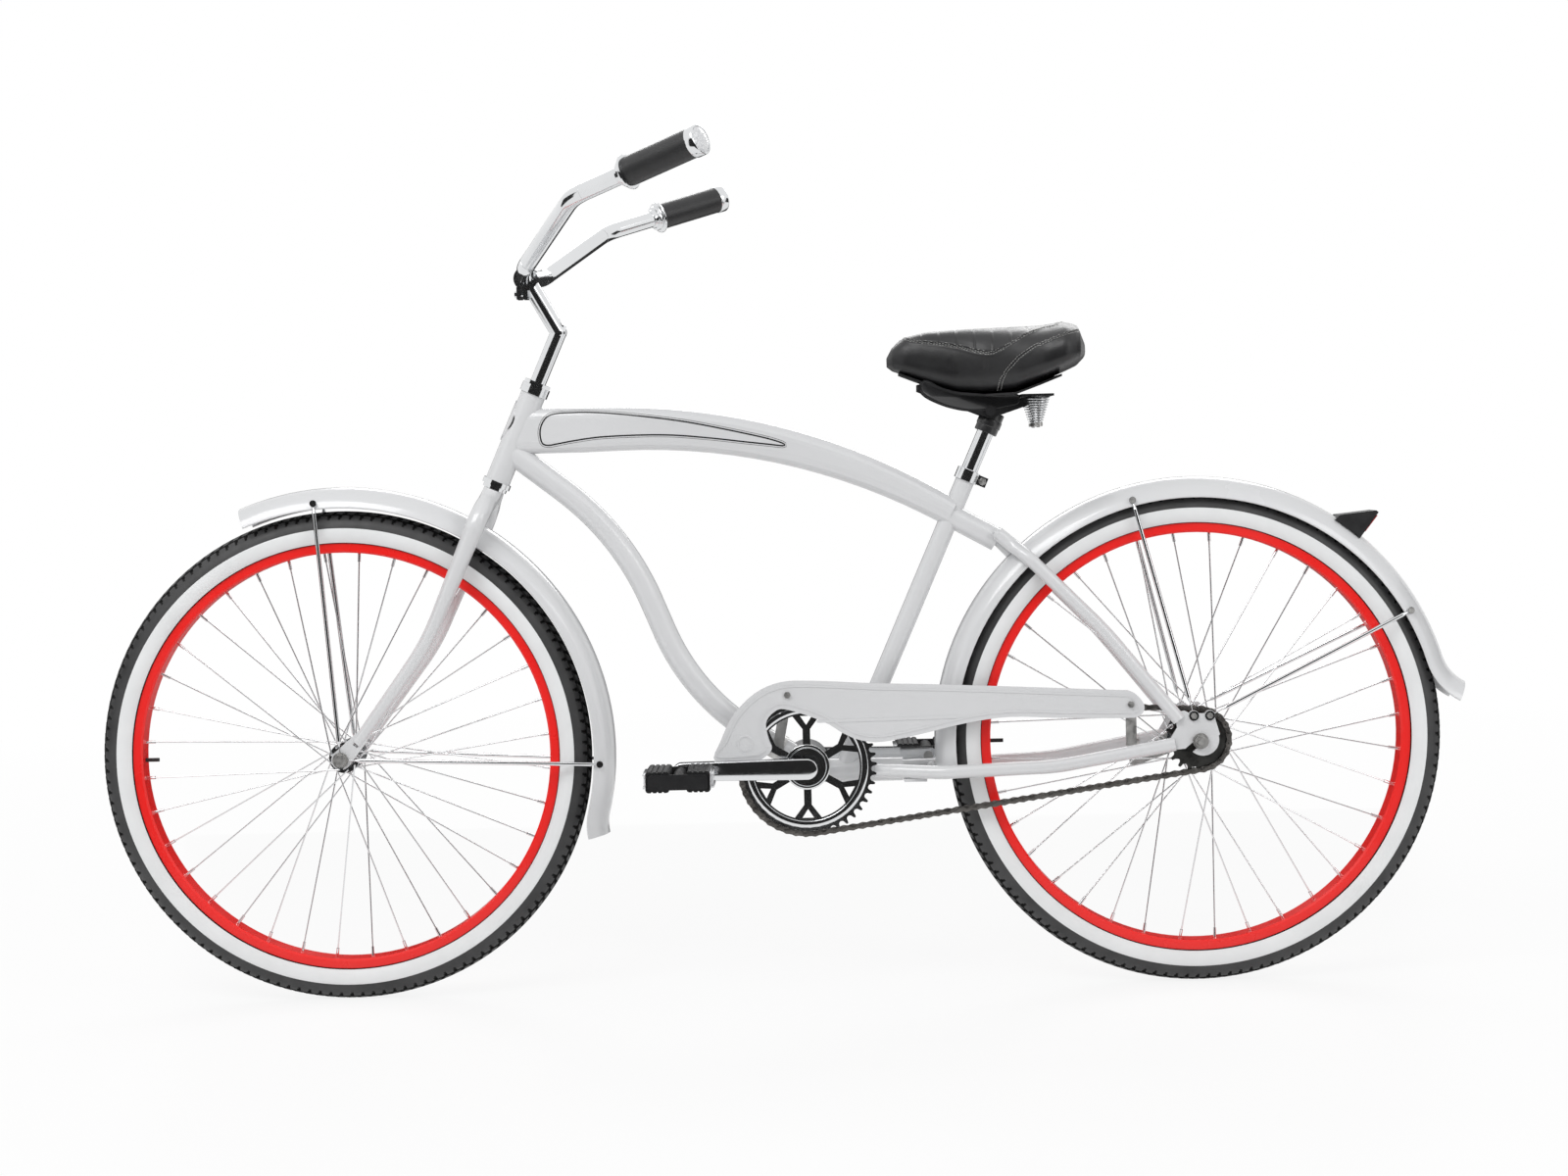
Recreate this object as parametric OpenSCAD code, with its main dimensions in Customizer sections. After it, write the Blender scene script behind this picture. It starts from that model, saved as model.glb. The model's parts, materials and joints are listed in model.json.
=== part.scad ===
/* [Wheels] */
// Distance between the two axles
wheelbase = 1134; // [1100:1:1170]
// Outside diameter of both tyres
tyre_d = 656; // [652:1:664]
// Width of both tyres
tyre_w = 51; // [48:1:54]
// Diameter over the rim flanges
rim_d = 571; // [569:1:573]
// Width across the rim flanges
rim_w = 34; // [32:1:36]
// Radial depth of the painted rim band
rim_depth = 12.5; // [11:0.5:15]
// Number of spokes in each wheel, a multiple of four
spoke_count = 36; // [28:4:40]
// Diameter of a spoke
spoke_d = 2; // [1.8:0.1:2.3]
// Width over the front hub locknuts
front_hub_w = 100; // [98:1:104]
// Diameter of the front hub flanges
front_flange_d = 40; // [36:1:46]
// Distance between the front hub flanges
front_flange_gap = 62; // [56:1:66]
// Diameter of the front axle
front_axle_d = 8; // [7.5:0.5:9]
// Width over the rear hub locknuts
rear_hub_w = 110; // [110:1:114]
// Diameter of the rear hub flanges
rear_flange_d = 66; // [60:1:70]
// Distance between the rear hub flanges
rear_flange_gap = 48; // [44:1:50]
// Diameter of the rear axle
rear_axle_d = 9.5; // [9:0.5:10]

/* [Frame] */
// Lean of the steering axis and the seat tube from level, in degrees
head_angle = 66; // [65:0.5:68]
// Lean of the seat tube from level, in degrees
seat_angle = 66; // [65:0.5:68]
// Forward offset of the front axle from the steering axis
fork_rake = 46; // [42:1:50]
// Distance along the steering axis from beside the axle to the head tube
fork_reach = 418; // [414:1:425]
// Length of the head tube
head_tube_len = 125; // [120:1:130]
// Diameter of the head tube
head_tube_d = 33; // [33:0.5:36]
// Height of the crank axis over the ground
crank_height = 303; // [298:1:308]
// Level distance from the crank axis to the rear axle
crank_to_axle = 518; // [514:0.5:522]
// Diameter of the bottom bracket shell
shell_d = 58; // [56:1:60]
// Width of the bottom bracket shell
shell_w = 68; // [66:1:70]
// Diameter of the down tube
down_tube_d = 31.8; // [28:0.2:34]
// Height of the top tube at the head tube
top_tube_front_h = 61; // [54:1:64]
// Height of the top tube at the seat tube
top_tube_rear_h = 38; // [34:1:40]
// Width of the top tube at the head tube
top_tube_front_w = 31; // [27:1:33]
// Diameter of the lower tube behind the shell
lower_tube_d = 31.8; // [30:0.2:34]
// Diameter of the seat tube
seat_tube_d = 25.4; // [25:0.2:28]
// Length of the seat tube above the lower tube
seat_tube_len = 437; // [430:1:450]
// Diameter of the chain stays and seat stays
stay_d = 18; // [16:0.5:19]
// Wall of every frame tube
tube_wall = 1.6; // [1.2:0.1:2]
// Thickness of the dropout plates
dropout_t = 4.5; // [4:0.5:6]

/* [Steering] */
// Diameter of the steerer tube
steerer_d = 25.4; // [25:0.2:26]
// Diameter of the stem quill
quill_d = 21.1; // [20.6:0.1:22]
// Length of quill shown above the headset
quill_rise = 74; // [60:1:90]
// Diameter of the fork blades at the crown
blade_d = 25.4; // [23:0.2:26]
// Diameter of the fork blades at the axle
blade_tip_d = 16; // [15:0.5:18]
// Diameter of the handlebar tube
bar_d = 22.2; // [21.6:0.2:23]
// Half of the handlebar's width, to the middle of a grip's end
bar_half_w = 359; // [345:1:370]
// Diameter of the grips
grip_d = 36.5; // [34:0.5:38]
// Length of the black part of a grip
grip_len = 96; // [80:1:100]

/* [Fenders] */
// Radius of the front fender's crown about the front axle
front_fender_r = 360; // [356:1:362]
// Radius of the rear fender's crown about the rear axle
rear_fender_r = 347; // [345:1:350]
// Depth of a fender's skirt
fender_depth = 26; // [24:1:28]
// Rounding of a fender's section
fender_round = 34; // [33:1:36]
// Thickness of the fender sheet
fender_t = 1.2; // [0.8:0.1:1.6]
// Radius of the outward flare at both fender tails
flare_r = 60; // [50:1:70]
// Diameter of the fender stay rods
fender_rod_d = 5.6; // [4:0.2:6]

/* [Drive] */
// Teeth on the chainring
ring_teeth = 44; // [40:1:44]
// Teeth on the rear cog
cog_teeth = 20; // [18:1:20]
// Pitch of the chain
chain_pitch = 12.7; // [12.7:0.1:12.9]
// Distance of the chain from the bicycle's middle plane
chain_line = 41; // [40.5:0.5:41.5]
// Length of a crank arm between centres
crank_len = 165; // [152:1:170]
// Thickness of a crank arm
crank_t = 12; // [10:0.5:14]
// Thickness of the chain guard sheet
guard_t = 1.2; // [0.8:0.1:1.6]
// Radius of the chain guard's front round about the crank axis
guard_r = 120; // [116:1:124]
// Length of a pedal along the bicycle
pedal_len = 83; // [70:1:90]
// Width of a pedal
pedal_w = 90; // [80:1:95]
// Height of a pedal
pedal_h = 27; // [24:1:30]

/* [Saddle] */
// Diameter of the seatpost
post_d = 22.2; // [21.8:0.1:22.4]
// Length of seatpost shown above the seat tube
post_rise = 78; // [72:1:110]
// Length of the saddle
saddle_len = 255; // [245:1:265]
// Width of the saddle
saddle_w = 236; // [200:1:250]
// Height of the saddle's crown over the top of the seatpost
saddle_top = 117; // [110:1:122]
// Curls in each saddle spring
spring_curls = 10; // [6:1:10]
// Width of a saddle spring at its top
spring_top_d = 27; // [24:0.5:30]
// Width of a saddle spring at its bottom
spring_low_d = 11; // [9:0.5:14]
// Wire of the saddle springs
spring_wire_d = 2; // [1.6:0.1:2.2]

/* [Hidden] */
$fn = 64;

// Clearance of a part that turns in another
run = 0.06;
// Clearance of a part that sits on another
seat_gap = 0.05;
// Length and radius by which a straight tube laps into a slightly wider bend
lap = 1;
lap_step = 0.15;
edge_in = 0.03;
gloss_white = [0.86, 0.87, 0.88];
chrome = [0.78, 0.79, 0.8];
steel = [0.55, 0.56, 0.58];
black = [0.07, 0.07, 0.07];
red = [0.85, 0.1, 0.08];

// Wheels and axles, with x to the rear and z up
tyre_r = tyre_d / 2;
section_r = tyre_w / 2;
tyre_ring_r = tyre_r - section_r;
rim_r = rim_d / 2;
bed_r = rim_r - rim_depth;
rim_wall = 1.6;
bed_t = 2;
tail_angle = 17;
tail_turn = 45;
tail_reach = (rear_fender_r + flare_r) * cos(tail_angle) - flare_r * cos(tail_angle + tail_turn);
front_x = (tyre_r - wheelbase - tail_reach) / 2;
rear_x = front_x + wheelbase;
front_axle = [front_x, 0, tyre_r];
rear_axle_at = [rear_x, 0, tyre_r];

// Steering axis: its foot lies beside the front axle
lean = 90 - head_angle;
steer_foot = front_axle + fork_rake * [cos(lean), 0, -sin(lean)];
steer_dir = [sin(lean), 0, cos(lean)];
steer_side = [cos(lean), 0, -sin(lean)];
function steer(x, y, s) = steer_foot + x * steer_side + [0, y, 0] + s * steer_dir;
head_top = fork_reach + head_tube_len;
crown_top = fork_reach - 12;
steerer_top = head_top + 17;
corner_s = head_top + 15 + quill_rise;
clamp_x = -66;
clamp_s = corner_s + 49;

// Seat tube axis: it starts on the lower tube's axis
crank_x = rear_x - crank_to_axle;
crank_at = [crank_x, 0, crank_height];
lower_z = crank_height - 10;
seat_lean = 90 - seat_angle;
seat_foot = [crank_x + 48, 0, lower_z - 1];
seat_dir = [sin(seat_lean), 0, cos(seat_lean)];
function seat(s) = seat_foot + s * seat_dir;
post_top_s = seat_tube_len + post_rise;
post_top = seat(post_top_s);

// Straight rods, bends and bent tubes
function dir(a, b) = (b - a) / norm(b - a);
function turn(p, i) = acos(dir(p[i - 1], p[i]) * dir(p[i], p[i + 1]));
function bend_in(p, rad, i) = i <= 0 || i >= len(p) - 1 ? 0 : rad[i] * tan(turn(p, i) / 2) - lap;
module along(d) { rotate([0, acos(d[2]), atan2(d[1], d[0])]) children(); }
module rod(a, b, r1, r2) {
    translate(a) along(dir(a, b)) cylinder(h = norm(b - a), r1 = r1, r2 = r2);
}
module bend(p, i, radius, r) {
    d1 = dir(p[i - 1], p[i]);
    d2 = dir(p[i], p[i + 1]);
    angle = turn(p, i);
    n = cross(d1, d2) / norm(cross(d1, d2));
    c = p[i] + dir(d1, d2) * radius / cos(angle / 2);
    x = (p[i] - d1 * radius * tan(angle / 2) - c) / radius;
    multmatrix([[x[0], d1[0], n[0], c[0]], [x[1], d1[1], n[1], c[1]], [x[2], d1[2], n[2], c[2]]])
        rotate_extrude(angle = angle) translate([radius, 0]) circle(r = r + lap_step);
}
module bent_rod(p, rad, r) {
    for (i = [0 : len(p) - 2]) {
        d = dir(p[i], p[i + 1]);
        rod(p[i] + d * bend_in(p, rad, i), p[i + 1] - d * bend_in(p, rad, i + 1), r, r);
    }
    for (i = [1 : 1 : len(p) - 2]) bend(p, i, rad[i], r);
}
module bent_tube(p, rad, r, wall) {
    last = len(p) - 1;
    longer = [for (i = [0 : last]) i == 0 ? p[0] - dir(p[0], p[1]) : i == last ? p[i] + dir(p[i - 1], p[i]) : p[i]];
    difference() {
        bent_rod(p, rad, r);
        bent_rod(longer, rad, r - wall);
    }
}
module both_sides() {
    children();
    mirror([0, 1, 0]) children();
}
// A disc or ring whose axis lies across the bicycle, from y0 to y1
module disc(at, r, y0, y1) { translate([at[0], max(y0, y1), at[2]]) rotate([90, 0, 0]) cylinder(h = abs(y1 - y0), r = r); }
module ring(at, r, hole, y0, y1) {
    difference() {
        disc(at, r, y0, y1);
        disc(at, hole, min(y0, y1) - 1, max(y0, y1) + 1);
    }
}
module nut(at, across, hole, y0, y1) {
    difference() {
        translate([at[0], max(y0, y1), at[2]]) rotate([90, 0, 0]) cylinder(h = abs(y1 - y0), r = across / sqrt(3), $fn = 6);
        disc(at, hole, min(y0, y1) - 1, max(y0, y1) + 1);
    }
}
// A plate in the bicycle's upright plane, from y0 to y1
module upright(y0, y1) { translate([0, max(y0, y1), 0]) rotate([90, 0, 0]) linear_extrude(abs(y1 - y0)) children(); }
module capsule(a, b, r) {
    d = dir(a, b);
    n = [-d[1], d[0]] * (r - edge_in);
    translate(a) circle(r = r);
    translate(b) circle(r = r);
    polygon([a + n, b + n, b - n, a - n]);
}
// Two circles joined by the straight tangents between them
module tapered(a, ra, b, rb) {
    d = dir(a, b);
    lift = acos((ra - rb) / norm(b - a));
    up = [d[0] * cos(lift) - d[1] * sin(lift), d[0] * sin(lift) + d[1] * cos(lift)];
    down = [d[0] * cos(lift) + d[1] * sin(lift), -d[0] * sin(lift) + d[1] * cos(lift)];
    translate(a) circle(r = ra);
    translate(b) circle(r = rb);
    qa = ra - edge_in;
    qb = rb - edge_in;
    polygon([a + up * qa, b + up * qb, b + down * qb, a + down * qa]);
}
module round_box(l, w, r) {
    square([l - 2 * r, w], center = true);
    square([l, w - 2 * r], center = true);
    for (x = [-1, 1], y = [-1, 1]) translate([x * (l / 2 - r), y * (w / 2 - r)]) circle(r = r);
}
module steering() { translate(steer_foot) rotate([0, lean, 0]) children(); }
module seat_line() { translate(seat_foot) rotate([0, seat_lean, 0]) children(); }
module round_wheel(at) { translate(at) rotate([90, 0, 0]) children(); }

// Head tube, badge and pressed bearing cups
head_bore_r = 15;
module head_cutter() { steering() translate([0, 0, fork_reach]) cylinder(h = head_tube_len, r = head_tube_d / 2); }
module head_tube() {
    color(gloss_white) steering() difference() {
        translate([0, 0, fork_reach]) cylinder(h = head_tube_len, r = head_tube_d / 2);
        translate([0, 0, fork_reach - 1]) cylinder(h = head_tube_len + 2, r = head_bore_r);
    }
}
badge_t = 1.5;
badge_w = 28;
badge_h = 57;
badge_at = 81;
badge_arc = (badge_h * badge_h + badge_w * badge_w) / 4 / badge_w;
module head_badge() {
    color(chrome) steering() intersection() {
        difference() {
            translate([0, 0, fork_reach + 30]) cylinder(h = head_tube_len, r = head_tube_d / 2 + badge_t);
            translate([0, 0, fork_reach]) cylinder(h = head_tube_len * 2, r = head_tube_d / 2 + seat_gap);
        }
        translate([-head_tube_d, 0, fork_reach + badge_at]) rotate([0, 90, 0]) linear_extrude(head_tube_d)
            intersection() {
                translate([0, badge_arc - badge_w / 2]) circle(r = badge_arc);
                translate([0, badge_w / 2 - badge_arc]) circle(r = badge_arc);
            }
    }
}
cup_r = 19;
cup_race_r = 16.2;
cup_hole_r = 13.6;
cup_skirt = 9;
cup_h = 7;
race_depth = 4;
shell_bore_r = 25.6;
crank_cup_t = 2.2;
crank_axle_r = 11;
crank_ball_r = 3;
crank_pocket_r = shell_bore_r - crank_cup_t;
crank_ball_ring_r = crank_pocket_r - crank_ball_r - 0.3;
module headset_cup() {
    difference() {
        union() {
            cylinder(h = cup_h, r = cup_r);
            translate([0, 0, -cup_skirt]) cylinder(h = cup_skirt + 1, r = head_bore_r - 0.02);
        }
        translate([0, 0, -cup_skirt - 1]) cylinder(h = cup_skirt + cup_h + 2, r = cup_hole_r);
        translate([0, 0, cup_h - race_depth]) cylinder(h = race_depth + 1, r = cup_race_r);
    }
}
module crank_cup() {
    face = shell_w / 2;
    difference() {
        union() {
            disc(crank_at, shell_bore_r - 0.02, -face + 12, -face - 1);
            disc(crank_at, shell_d / 2, -face - 0.02, -face - crank_cup_t);
        }
        disc(crank_at, crank_pocket_r, -face + 10, -face - 9);
        disc(crank_at, crank_axle_r + 3, 0, -face);
    }
}
module bearing_cups() {
    color(chrome) {
        steering() {
            translate([0, 0, head_top + 0.02]) headset_cup();
            translate([0, 0, fork_reach - 0.02]) mirror([0, 0, 1]) headset_cup();
        }
        both_sides() crank_cup();
    }
}

// Top tube: a tall rounded tube, straight at first and then arched down to the seat tube
arch_r = 840;
arch_turn = 29.3;
rings_on_arch = 14;
ring_sides = 24;
tank_start_x = steer_foot[0] + (fork_reach + 0.56 * head_tube_len) * steer_dir[0];
seat_join = seat(seat_tube_len - 62);
tank_tail = 30;
tank_even = 85;
tank_rear_w = 34;
arch_x = seat_join[0] - tank_tail * cos(arch_turn) - arch_r * sin(arch_turn);
arch_z = seat_join[2] + tank_tail * sin(arch_turn) + arch_r * (1 - cos(arch_turn));
flat_len = arch_x - tank_start_x;
arch_len = arch_r * arch_turn * PI / 180;
tank_len = flat_len + arch_len + tank_tail;
// Centre of the top tube at a distance from its front, with its slope there
function tank_at(s) =
    let (past = s - flat_len, a = min(arch_turn, max(0, past / arch_r * 180 / PI)),
        rest = past < 0 ? past : max(0, past - arch_len))
    [arch_x + arch_r * sin(a) + rest * cos(a), arch_z - arch_r * (1 - cos(a)) - rest * sin(a), a];
function taper(s, a, b) = a + (b - a) * min(1, max(0, (s - tank_even) / (tank_len - tank_even)));
function tank_ring(s, wall) =
    let (c = tank_at(s), w = taper(s, top_tube_front_w, tank_rear_w) / 2,
        rise = taper(s, top_tube_front_h, top_tube_rear_h) / 2 - w, half = ring_sides / 2)
    [for (side = [1, -1], k = [0 : half - 1])
        let (t = 180 * k / (half - 1), y = side * (w - wall) * cos(t), up = side * ((w - wall) * sin(t) + rise))
        [c[0] + up * sin(c[2]), y, c[1] + up * cos(c[2])]];
function loft_faces(rings, n) = concat(
    [[for (k = [0 : n - 1]) k]],
    [for (i = [0 : rings - 2], k = [0 : n - 1]) [i * n + k, (i + 1) * n + k, (i + 1) * n + (k + 1) % n]],
    [for (i = [0 : rings - 2], k = [0 : n - 1]) [i * n + k, (i + 1) * n + (k + 1) % n, i * n + (k + 1) % n]],
    [[for (k = [n - 1 : -1 : 0]) (rings - 1) * n + k]]);
// The end over the seat tube is left closed by the wall
module tank_loft(wall, over) {
    stations = concat([-over, tank_even], [for (i = [0 : rings_on_arch]) flat_len + arch_len * i / rings_on_arch],
        [tank_len - wall]);
    points = [for (s = stations) each tank_ring(s, wall)];
    polyhedron(points, loft_faces(len(stations), ring_sides), convexity = 4);
}
module top_tube() {
    color(gloss_white) difference() {
        tank_loft(0, 0);
        tank_loft(tube_wall, 2);
        head_cutter();
        steering() translate([-60, -40, fork_reach - 60]) cube([60, 80, head_tube_len + 120]);
        seat_cutter();
    }
}
// The rounded underside of the top tube, for what meets it from below
module tank_under_cutter() {
    r = top_tube_front_w / 2;
    z = arch_z - top_tube_front_h / 2 + r;
    translate([tank_start_x - 30, 0, z]) rotate([0, 90, 0]) cylinder(h = 30 + tank_even, r = r);
    translate([tank_start_x - 30, -r, z]) cube([30 + tank_even, 2 * r, 60]);
}

// Down tube: an S from the head tube to the shell
down_start = steer(0, 0, fork_reach + 0.35 * head_tube_len);
down_path = [
    down_start,
    down_start + [146.6, 0, -114.7],
    crank_at + [-149.1, 0, 90.8],
    crank_at
];
down_bends = [0, 365, 297, 0];
module down_tube() {
    color(gloss_white) difference() {
        bent_tube(down_path, down_bends, down_tube_d / 2, tube_wall);
        head_cutter();
        tank_under_cutter();
        shell_cutter(0);
    }
}
module shell_cutter(gap) { disc(crank_at, shell_d / 2 + gap, -shell_w, shell_w); }
module bottom_bracket_shell() {
    color(gloss_white) ring(crank_at, shell_d / 2, shell_bore_r, -shell_w / 2, shell_w / 2);
}

// Lower tube, seat tube and stub
lower_end_x = crank_x + 128;
module lower_solid(r, over) {
    rod([crank_x - over, 0, lower_z], [lower_end_x + over, 0, lower_z], r, r);
}
module lower_tube() {
    color(gloss_white) difference() {
        lower_solid(lower_tube_d / 2, 0);
        lower_solid(lower_tube_d / 2 - tube_wall, 1);
        shell_cutter(0);
    }
}
module seat_cutter() { seat_line() translate([0, 0, -30]) cylinder(h = seat_tube_len + 60, r = seat_tube_d / 2); }
seat_bore_r = post_d / 2 + run;
module seat_tube() {
    color(gloss_white) difference() {
        seat_line() cylinder(h = seat_tube_len, r = seat_tube_d / 2);
        seat_line() translate([0, 0, -1]) cylinder(h = seat_tube_len + 2, r = seat_bore_r);
        seat_line() translate([0, -1, seat_tube_len - 30]) cube([seat_tube_d, 2, 40]);
        lower_solid(lower_tube_d / 2, 0);
    }
}
stub_len = 70;
stub_r = 15.5;
stub_dir = [cos(arch_turn), 0, -sin(arch_turn)];
stub_start = seat_join - 4 * [sin(arch_turn), 0, cos(arch_turn)];
stub_end = stub_start + stub_len * stub_dir;
module seat_stub() {
    color(gloss_white) difference() {
        rod(stub_start, stub_end, stub_r, stub_r);
        rod(stub_start - stub_dir, stub_end - tube_wall * stub_dir, stub_r - tube_wall, stub_r - tube_wall);
        seat_cutter();
    }
}

// Stays and dropouts
plate_y = rear_hub_w / 2 + dropout_t / 2;
stay_r = stay_d / 2;
stay_wall = 1.3;
stay_spread = fender_round + stay_r + 1.5;
chain_stay_y = lower_tube_d / 2 + stay_r + seat_gap;
seat_stay_y = stub_r + stay_r + seat_gap;
chain_stay_path = [
    [lower_end_x - 38, -chain_stay_y, lower_z + 1],
    [lower_end_x - 10, -chain_stay_y, lower_z],
    [lower_end_x + 50, -stay_spread - 1.5, lower_z - 1],
    [rear_x - 189, -stay_spread - 5, lower_z + 4],
    [rear_x - 33, -plate_y, tyre_r - 4]
];
chain_stay_bends = [0, 50, 60, 300, 0];
seat_stay_path = [
    stub_end + [0, -seat_stay_y, 9],
    stub_end + [17, -seat_stay_y, -5.5],
    [rear_x - 219, -stay_spread, tyre_r + 245],
    [rear_x - 121.5, -stay_spread - 2.5, tyre_r + 146],
    [rear_x - 27, -plate_y, tyre_r + 28]
];
seat_stay_bends = [0, 40, 40, 500, 0];
axle_slot = 40;
module dropout_plate(grow) {
    slot_r = rear_axle_d / 2 + 0.2;
    upright(-plate_y - dropout_t / 2 - grow, -plate_y + dropout_t / 2 + grow) translate([rear_x, tyre_r]) difference() {
        union() {
            translate([4, 1]) circle(r = 21);
            polygon([[-42, -12], [-40, 2], [-30, 18], [-34, 38], [-20, 40], [-12, 36], [18, 36], [26, 8], [4, -20], [-18, -10]]);
            for (x = [-8, 13]) translate([x, 33]) circle(r = 7);
        }
        capsule([0, 0], -50 * [cos(axle_slot), sin(axle_slot)], slot_r);
        for (x = [-8, 13]) translate([x, 33]) circle(r = 2.6);
    }
}
module dropouts() { color(gloss_white) both_sides() dropout_plate(0); }
stay_tip = 4;
function longer_at_end(p) = [for (i = [0 : len(p) - 1]) i < len(p) - 1 ? p[i] : p[i] + dir(p[i - 1], p[i])];
module near_stay(path, bends) {
    difference() {
        union() {
            bent_rod(path, bends, stay_r);
            rod(path[0] - stay_tip * dir(path[0], path[1]), path[0] + lap * dir(path[0], path[1]), stay_r - stay_tip, stay_r + lap_step);
        }
        bent_rod(longer_at_end(path), bends, stay_r - stay_wall);
        dropout_plate(seat_gap);
    }
}
module chain_stays() { color(gloss_white) both_sides() near_stay(chain_stay_path, chain_stay_bends); }
module seat_stays() { color(gloss_white) both_sides() near_stay(seat_stay_path, seat_stay_bends); }

// Bridges: the chain stay bridge, the kickstand plate and the fender bracket under the stub
bridge_r = 6;
bridge_drop = tyre_r - lower_z + 1;
function fender_front(r) = rear_x - sqrt(r * r - bridge_drop * bridge_drop);
bridge_x = fender_front(rear_fender_r + bridge_r + 0.3);
stand_x = lower_end_x + 1;
stand_len = 30;
stand_hole_r = 5;
stand_t = 4;
bracket_dir = dir(stub_end, rear_axle_at);
fender_screw_r = 2.5;
module fender_cutter(at, r) { round_wheel(at) cylinder(h = 50, r = r, center = true); }
module frame_bridges() {
    color(gloss_white) {
        difference() {
            rod([bridge_x, -38, lower_z - 1], [bridge_x, 38, lower_z - 1], bridge_r, bridge_r);
            both_sides() bent_rod(chain_stay_path, chain_stay_bends, stay_r);
            rod([bridge_x - 20, 0, lower_z - 1], [bridge_x + 20, 0, lower_z - 1], fender_screw_r + 0.1, fender_screw_r + 0.1);
        }
        difference() {
            translate([stand_x, -34, lower_z - 1 - stay_r - 0.05 - stand_t]) cube([stand_len, 68, stand_t]);
            translate([stand_x + stand_len / 2, 0, lower_z - 40]) cylinder(h = 60, r = stand_hole_r);
        }
        difference() {
            translate(stub_end) along(bracket_dir) translate([0, 0, -10]) cylinder(h = 60, r = 7);
            rod(stub_start, stub_end + 0.02 * stub_dir, stub_r + 0.02, stub_r + 0.02);
            rod(stub_end - 30 * stub_dir, stub_end, 40, stub_r + 0.02);
            translate(stub_end) along(bracket_dir) translate([0, 0, -12]) cylinder(h = 80, r = fender_screw_r + 0.1);
            fender_cutter(rear_axle_at, rear_fender_r + 0.05);
        }
    }
}

// Seat clamp round the top of the seat tube
clamp_h = 15;
clamp_t = 3;
clamp_ear = 12;
clamp_bolt_r = 2.8;
clamp_mid = seat_tube_len - clamp_h / 2 - 1;
clamp_bolt_x = seat_tube_d / 2 + clamp_t + clamp_ear / 2;
module seat_clamp() {
    color(chrome) seat_line() translate([0, 0, clamp_mid]) difference() {
        union() {
            cylinder(h = clamp_h, r = seat_tube_d / 2 + clamp_t, center = true);
            translate([seat_tube_d / 2 + clamp_t + clamp_ear / 2 - 2, 0, 0]) cube([clamp_ear + 4, 13, clamp_h - 2], center = true);
        }
        cylinder(h = clamp_h + 2, r = seat_tube_d / 2 + seat_gap, center = true);
        translate([seat_tube_d, 0, 0]) cube([2 * seat_tube_d, 3, clamp_h + 2], center = true);
        translate([clamp_bolt_x, 0, 0]) rotate([90, 0, 0]) cylinder(h = 20, r = clamp_bolt_r + 0.1, center = true);
    }
}
// A hex bolt along +z: its head ends at 0, its shank runs up by len, with a nut that starts at nut_at
module hex_bolt(r, head, len, nut_at) {
    translate([0, 0, -head * 0.45]) cylinder(h = head * 0.45, r = head / sqrt(3) , $fn = 6);
    translate([0, 0, -0.5]) cylinder(h = len + 0.5, r = r);
    if (nut_at > 0) translate([0, 0, nut_at]) cylinder(h = head * 0.4, r = head / sqrt(3), $fn = 6);
}
module across(at) { translate(at) rotate([-90, 0, 0]) children(); }
stay_bolt_at = [[-8, 33], [13, 33]];
stay_bolt_r = 2.5;
rod_eye_t = 2.5;
// Angles about a wheel's axle at which its fender's stays end
rear_rod_angles = [104.2, 29.9];
front_rod_angles = [95, 357.3];
function on_wheel(at, a, r, y) = at + [r * cos(a), y, r * sin(a)];
guard_rear_screw = [rear_x - 89, tyre_r + 49];
guard_front_screw = [crank_x - 24, crank_height + 97];
guard_y = -48;
screw_r = 2.5;
module frame_bolts() {
    half = 6.5;
    bridge_nut = fender_front(rear_fender_r - fender_t) + 1 - bridge_x + bridge_r;
    color(chrome) {
        seat_line() translate([clamp_bolt_x, -half, clamp_mid]) rotate([-90, 0, 0])
            translate([0, 0, -0.02]) hex_bolt(clamp_bolt_r, 9, 2 * half + 6, 2 * half + 0.05);
        both_sides() for (q = stay_bolt_at)
            across([rear_x + q[0], -plate_y - dropout_t / 2 - rod_eye_t - 0.1, tyre_r + q[1]])
                hex_bolt(stay_bolt_r, 7, dropout_t + rod_eye_t + 0.2, dropout_t + rod_eye_t + 0.15);
        both_sides() for (i = [0, 1]) fender_rivet(rear_axle_at, rear_rod_angles[i], rear_fender_r);
        translate([bridge_x - bridge_r - 0.1, 0, lower_z - 1]) rotate([0, 90, 0])
            hex_bolt(fender_screw_r, 8, bridge_nut + 4, bridge_nut);
        for (q = [guard_rear_screw, guard_front_screw])
            across([q[0], guard_y - guard_t - 0.05, q[1]]) hex_bolt(screw_r, 8, guard_t + strap_t, 0);
        across([arm_end[0], arm_far_y - arm_t - 0.05, arm_end[1]]) hex_bolt(screw_r, 7, arm_t + 6, arm_t + strap_t + 0.15);
    }
}

// Fenders: a rounded section swept about the axle, with a flared tail
bead_r = 1.5;
bead_out = 0.2;
module fender_section(r) {
    c = r - fender_round;
    edge = r - fender_depth;
    half = sqrt(fender_round * fender_round - (edge - c) * (edge - c));
    difference() {
        translate([c, 0]) circle(r = fender_round);
        translate([c, 0]) circle(r = fender_round - fender_t);
        translate([c - fender_round * 2, -fender_round * 2]) square([fender_round * 2 + edge - c, fender_round * 4]);
    }
    for (side = [-1, 1]) translate([edge, side * (half - bead_r + bead_out)]) circle(r = bead_r);
}
module fender_sheet(at, r, a0, a1, turned) {
    round_wheel(at) {
        rotate(a0) rotate_extrude(angle = a1 - a0) fender_section(r);
        rotate(a0) translate([r + flare_r, 0]) rotate(180) rotate_extrude(angle = turned)
            translate([r + flare_r, 0]) mirror([1, 0]) fender_section(r);
    }
}
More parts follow.
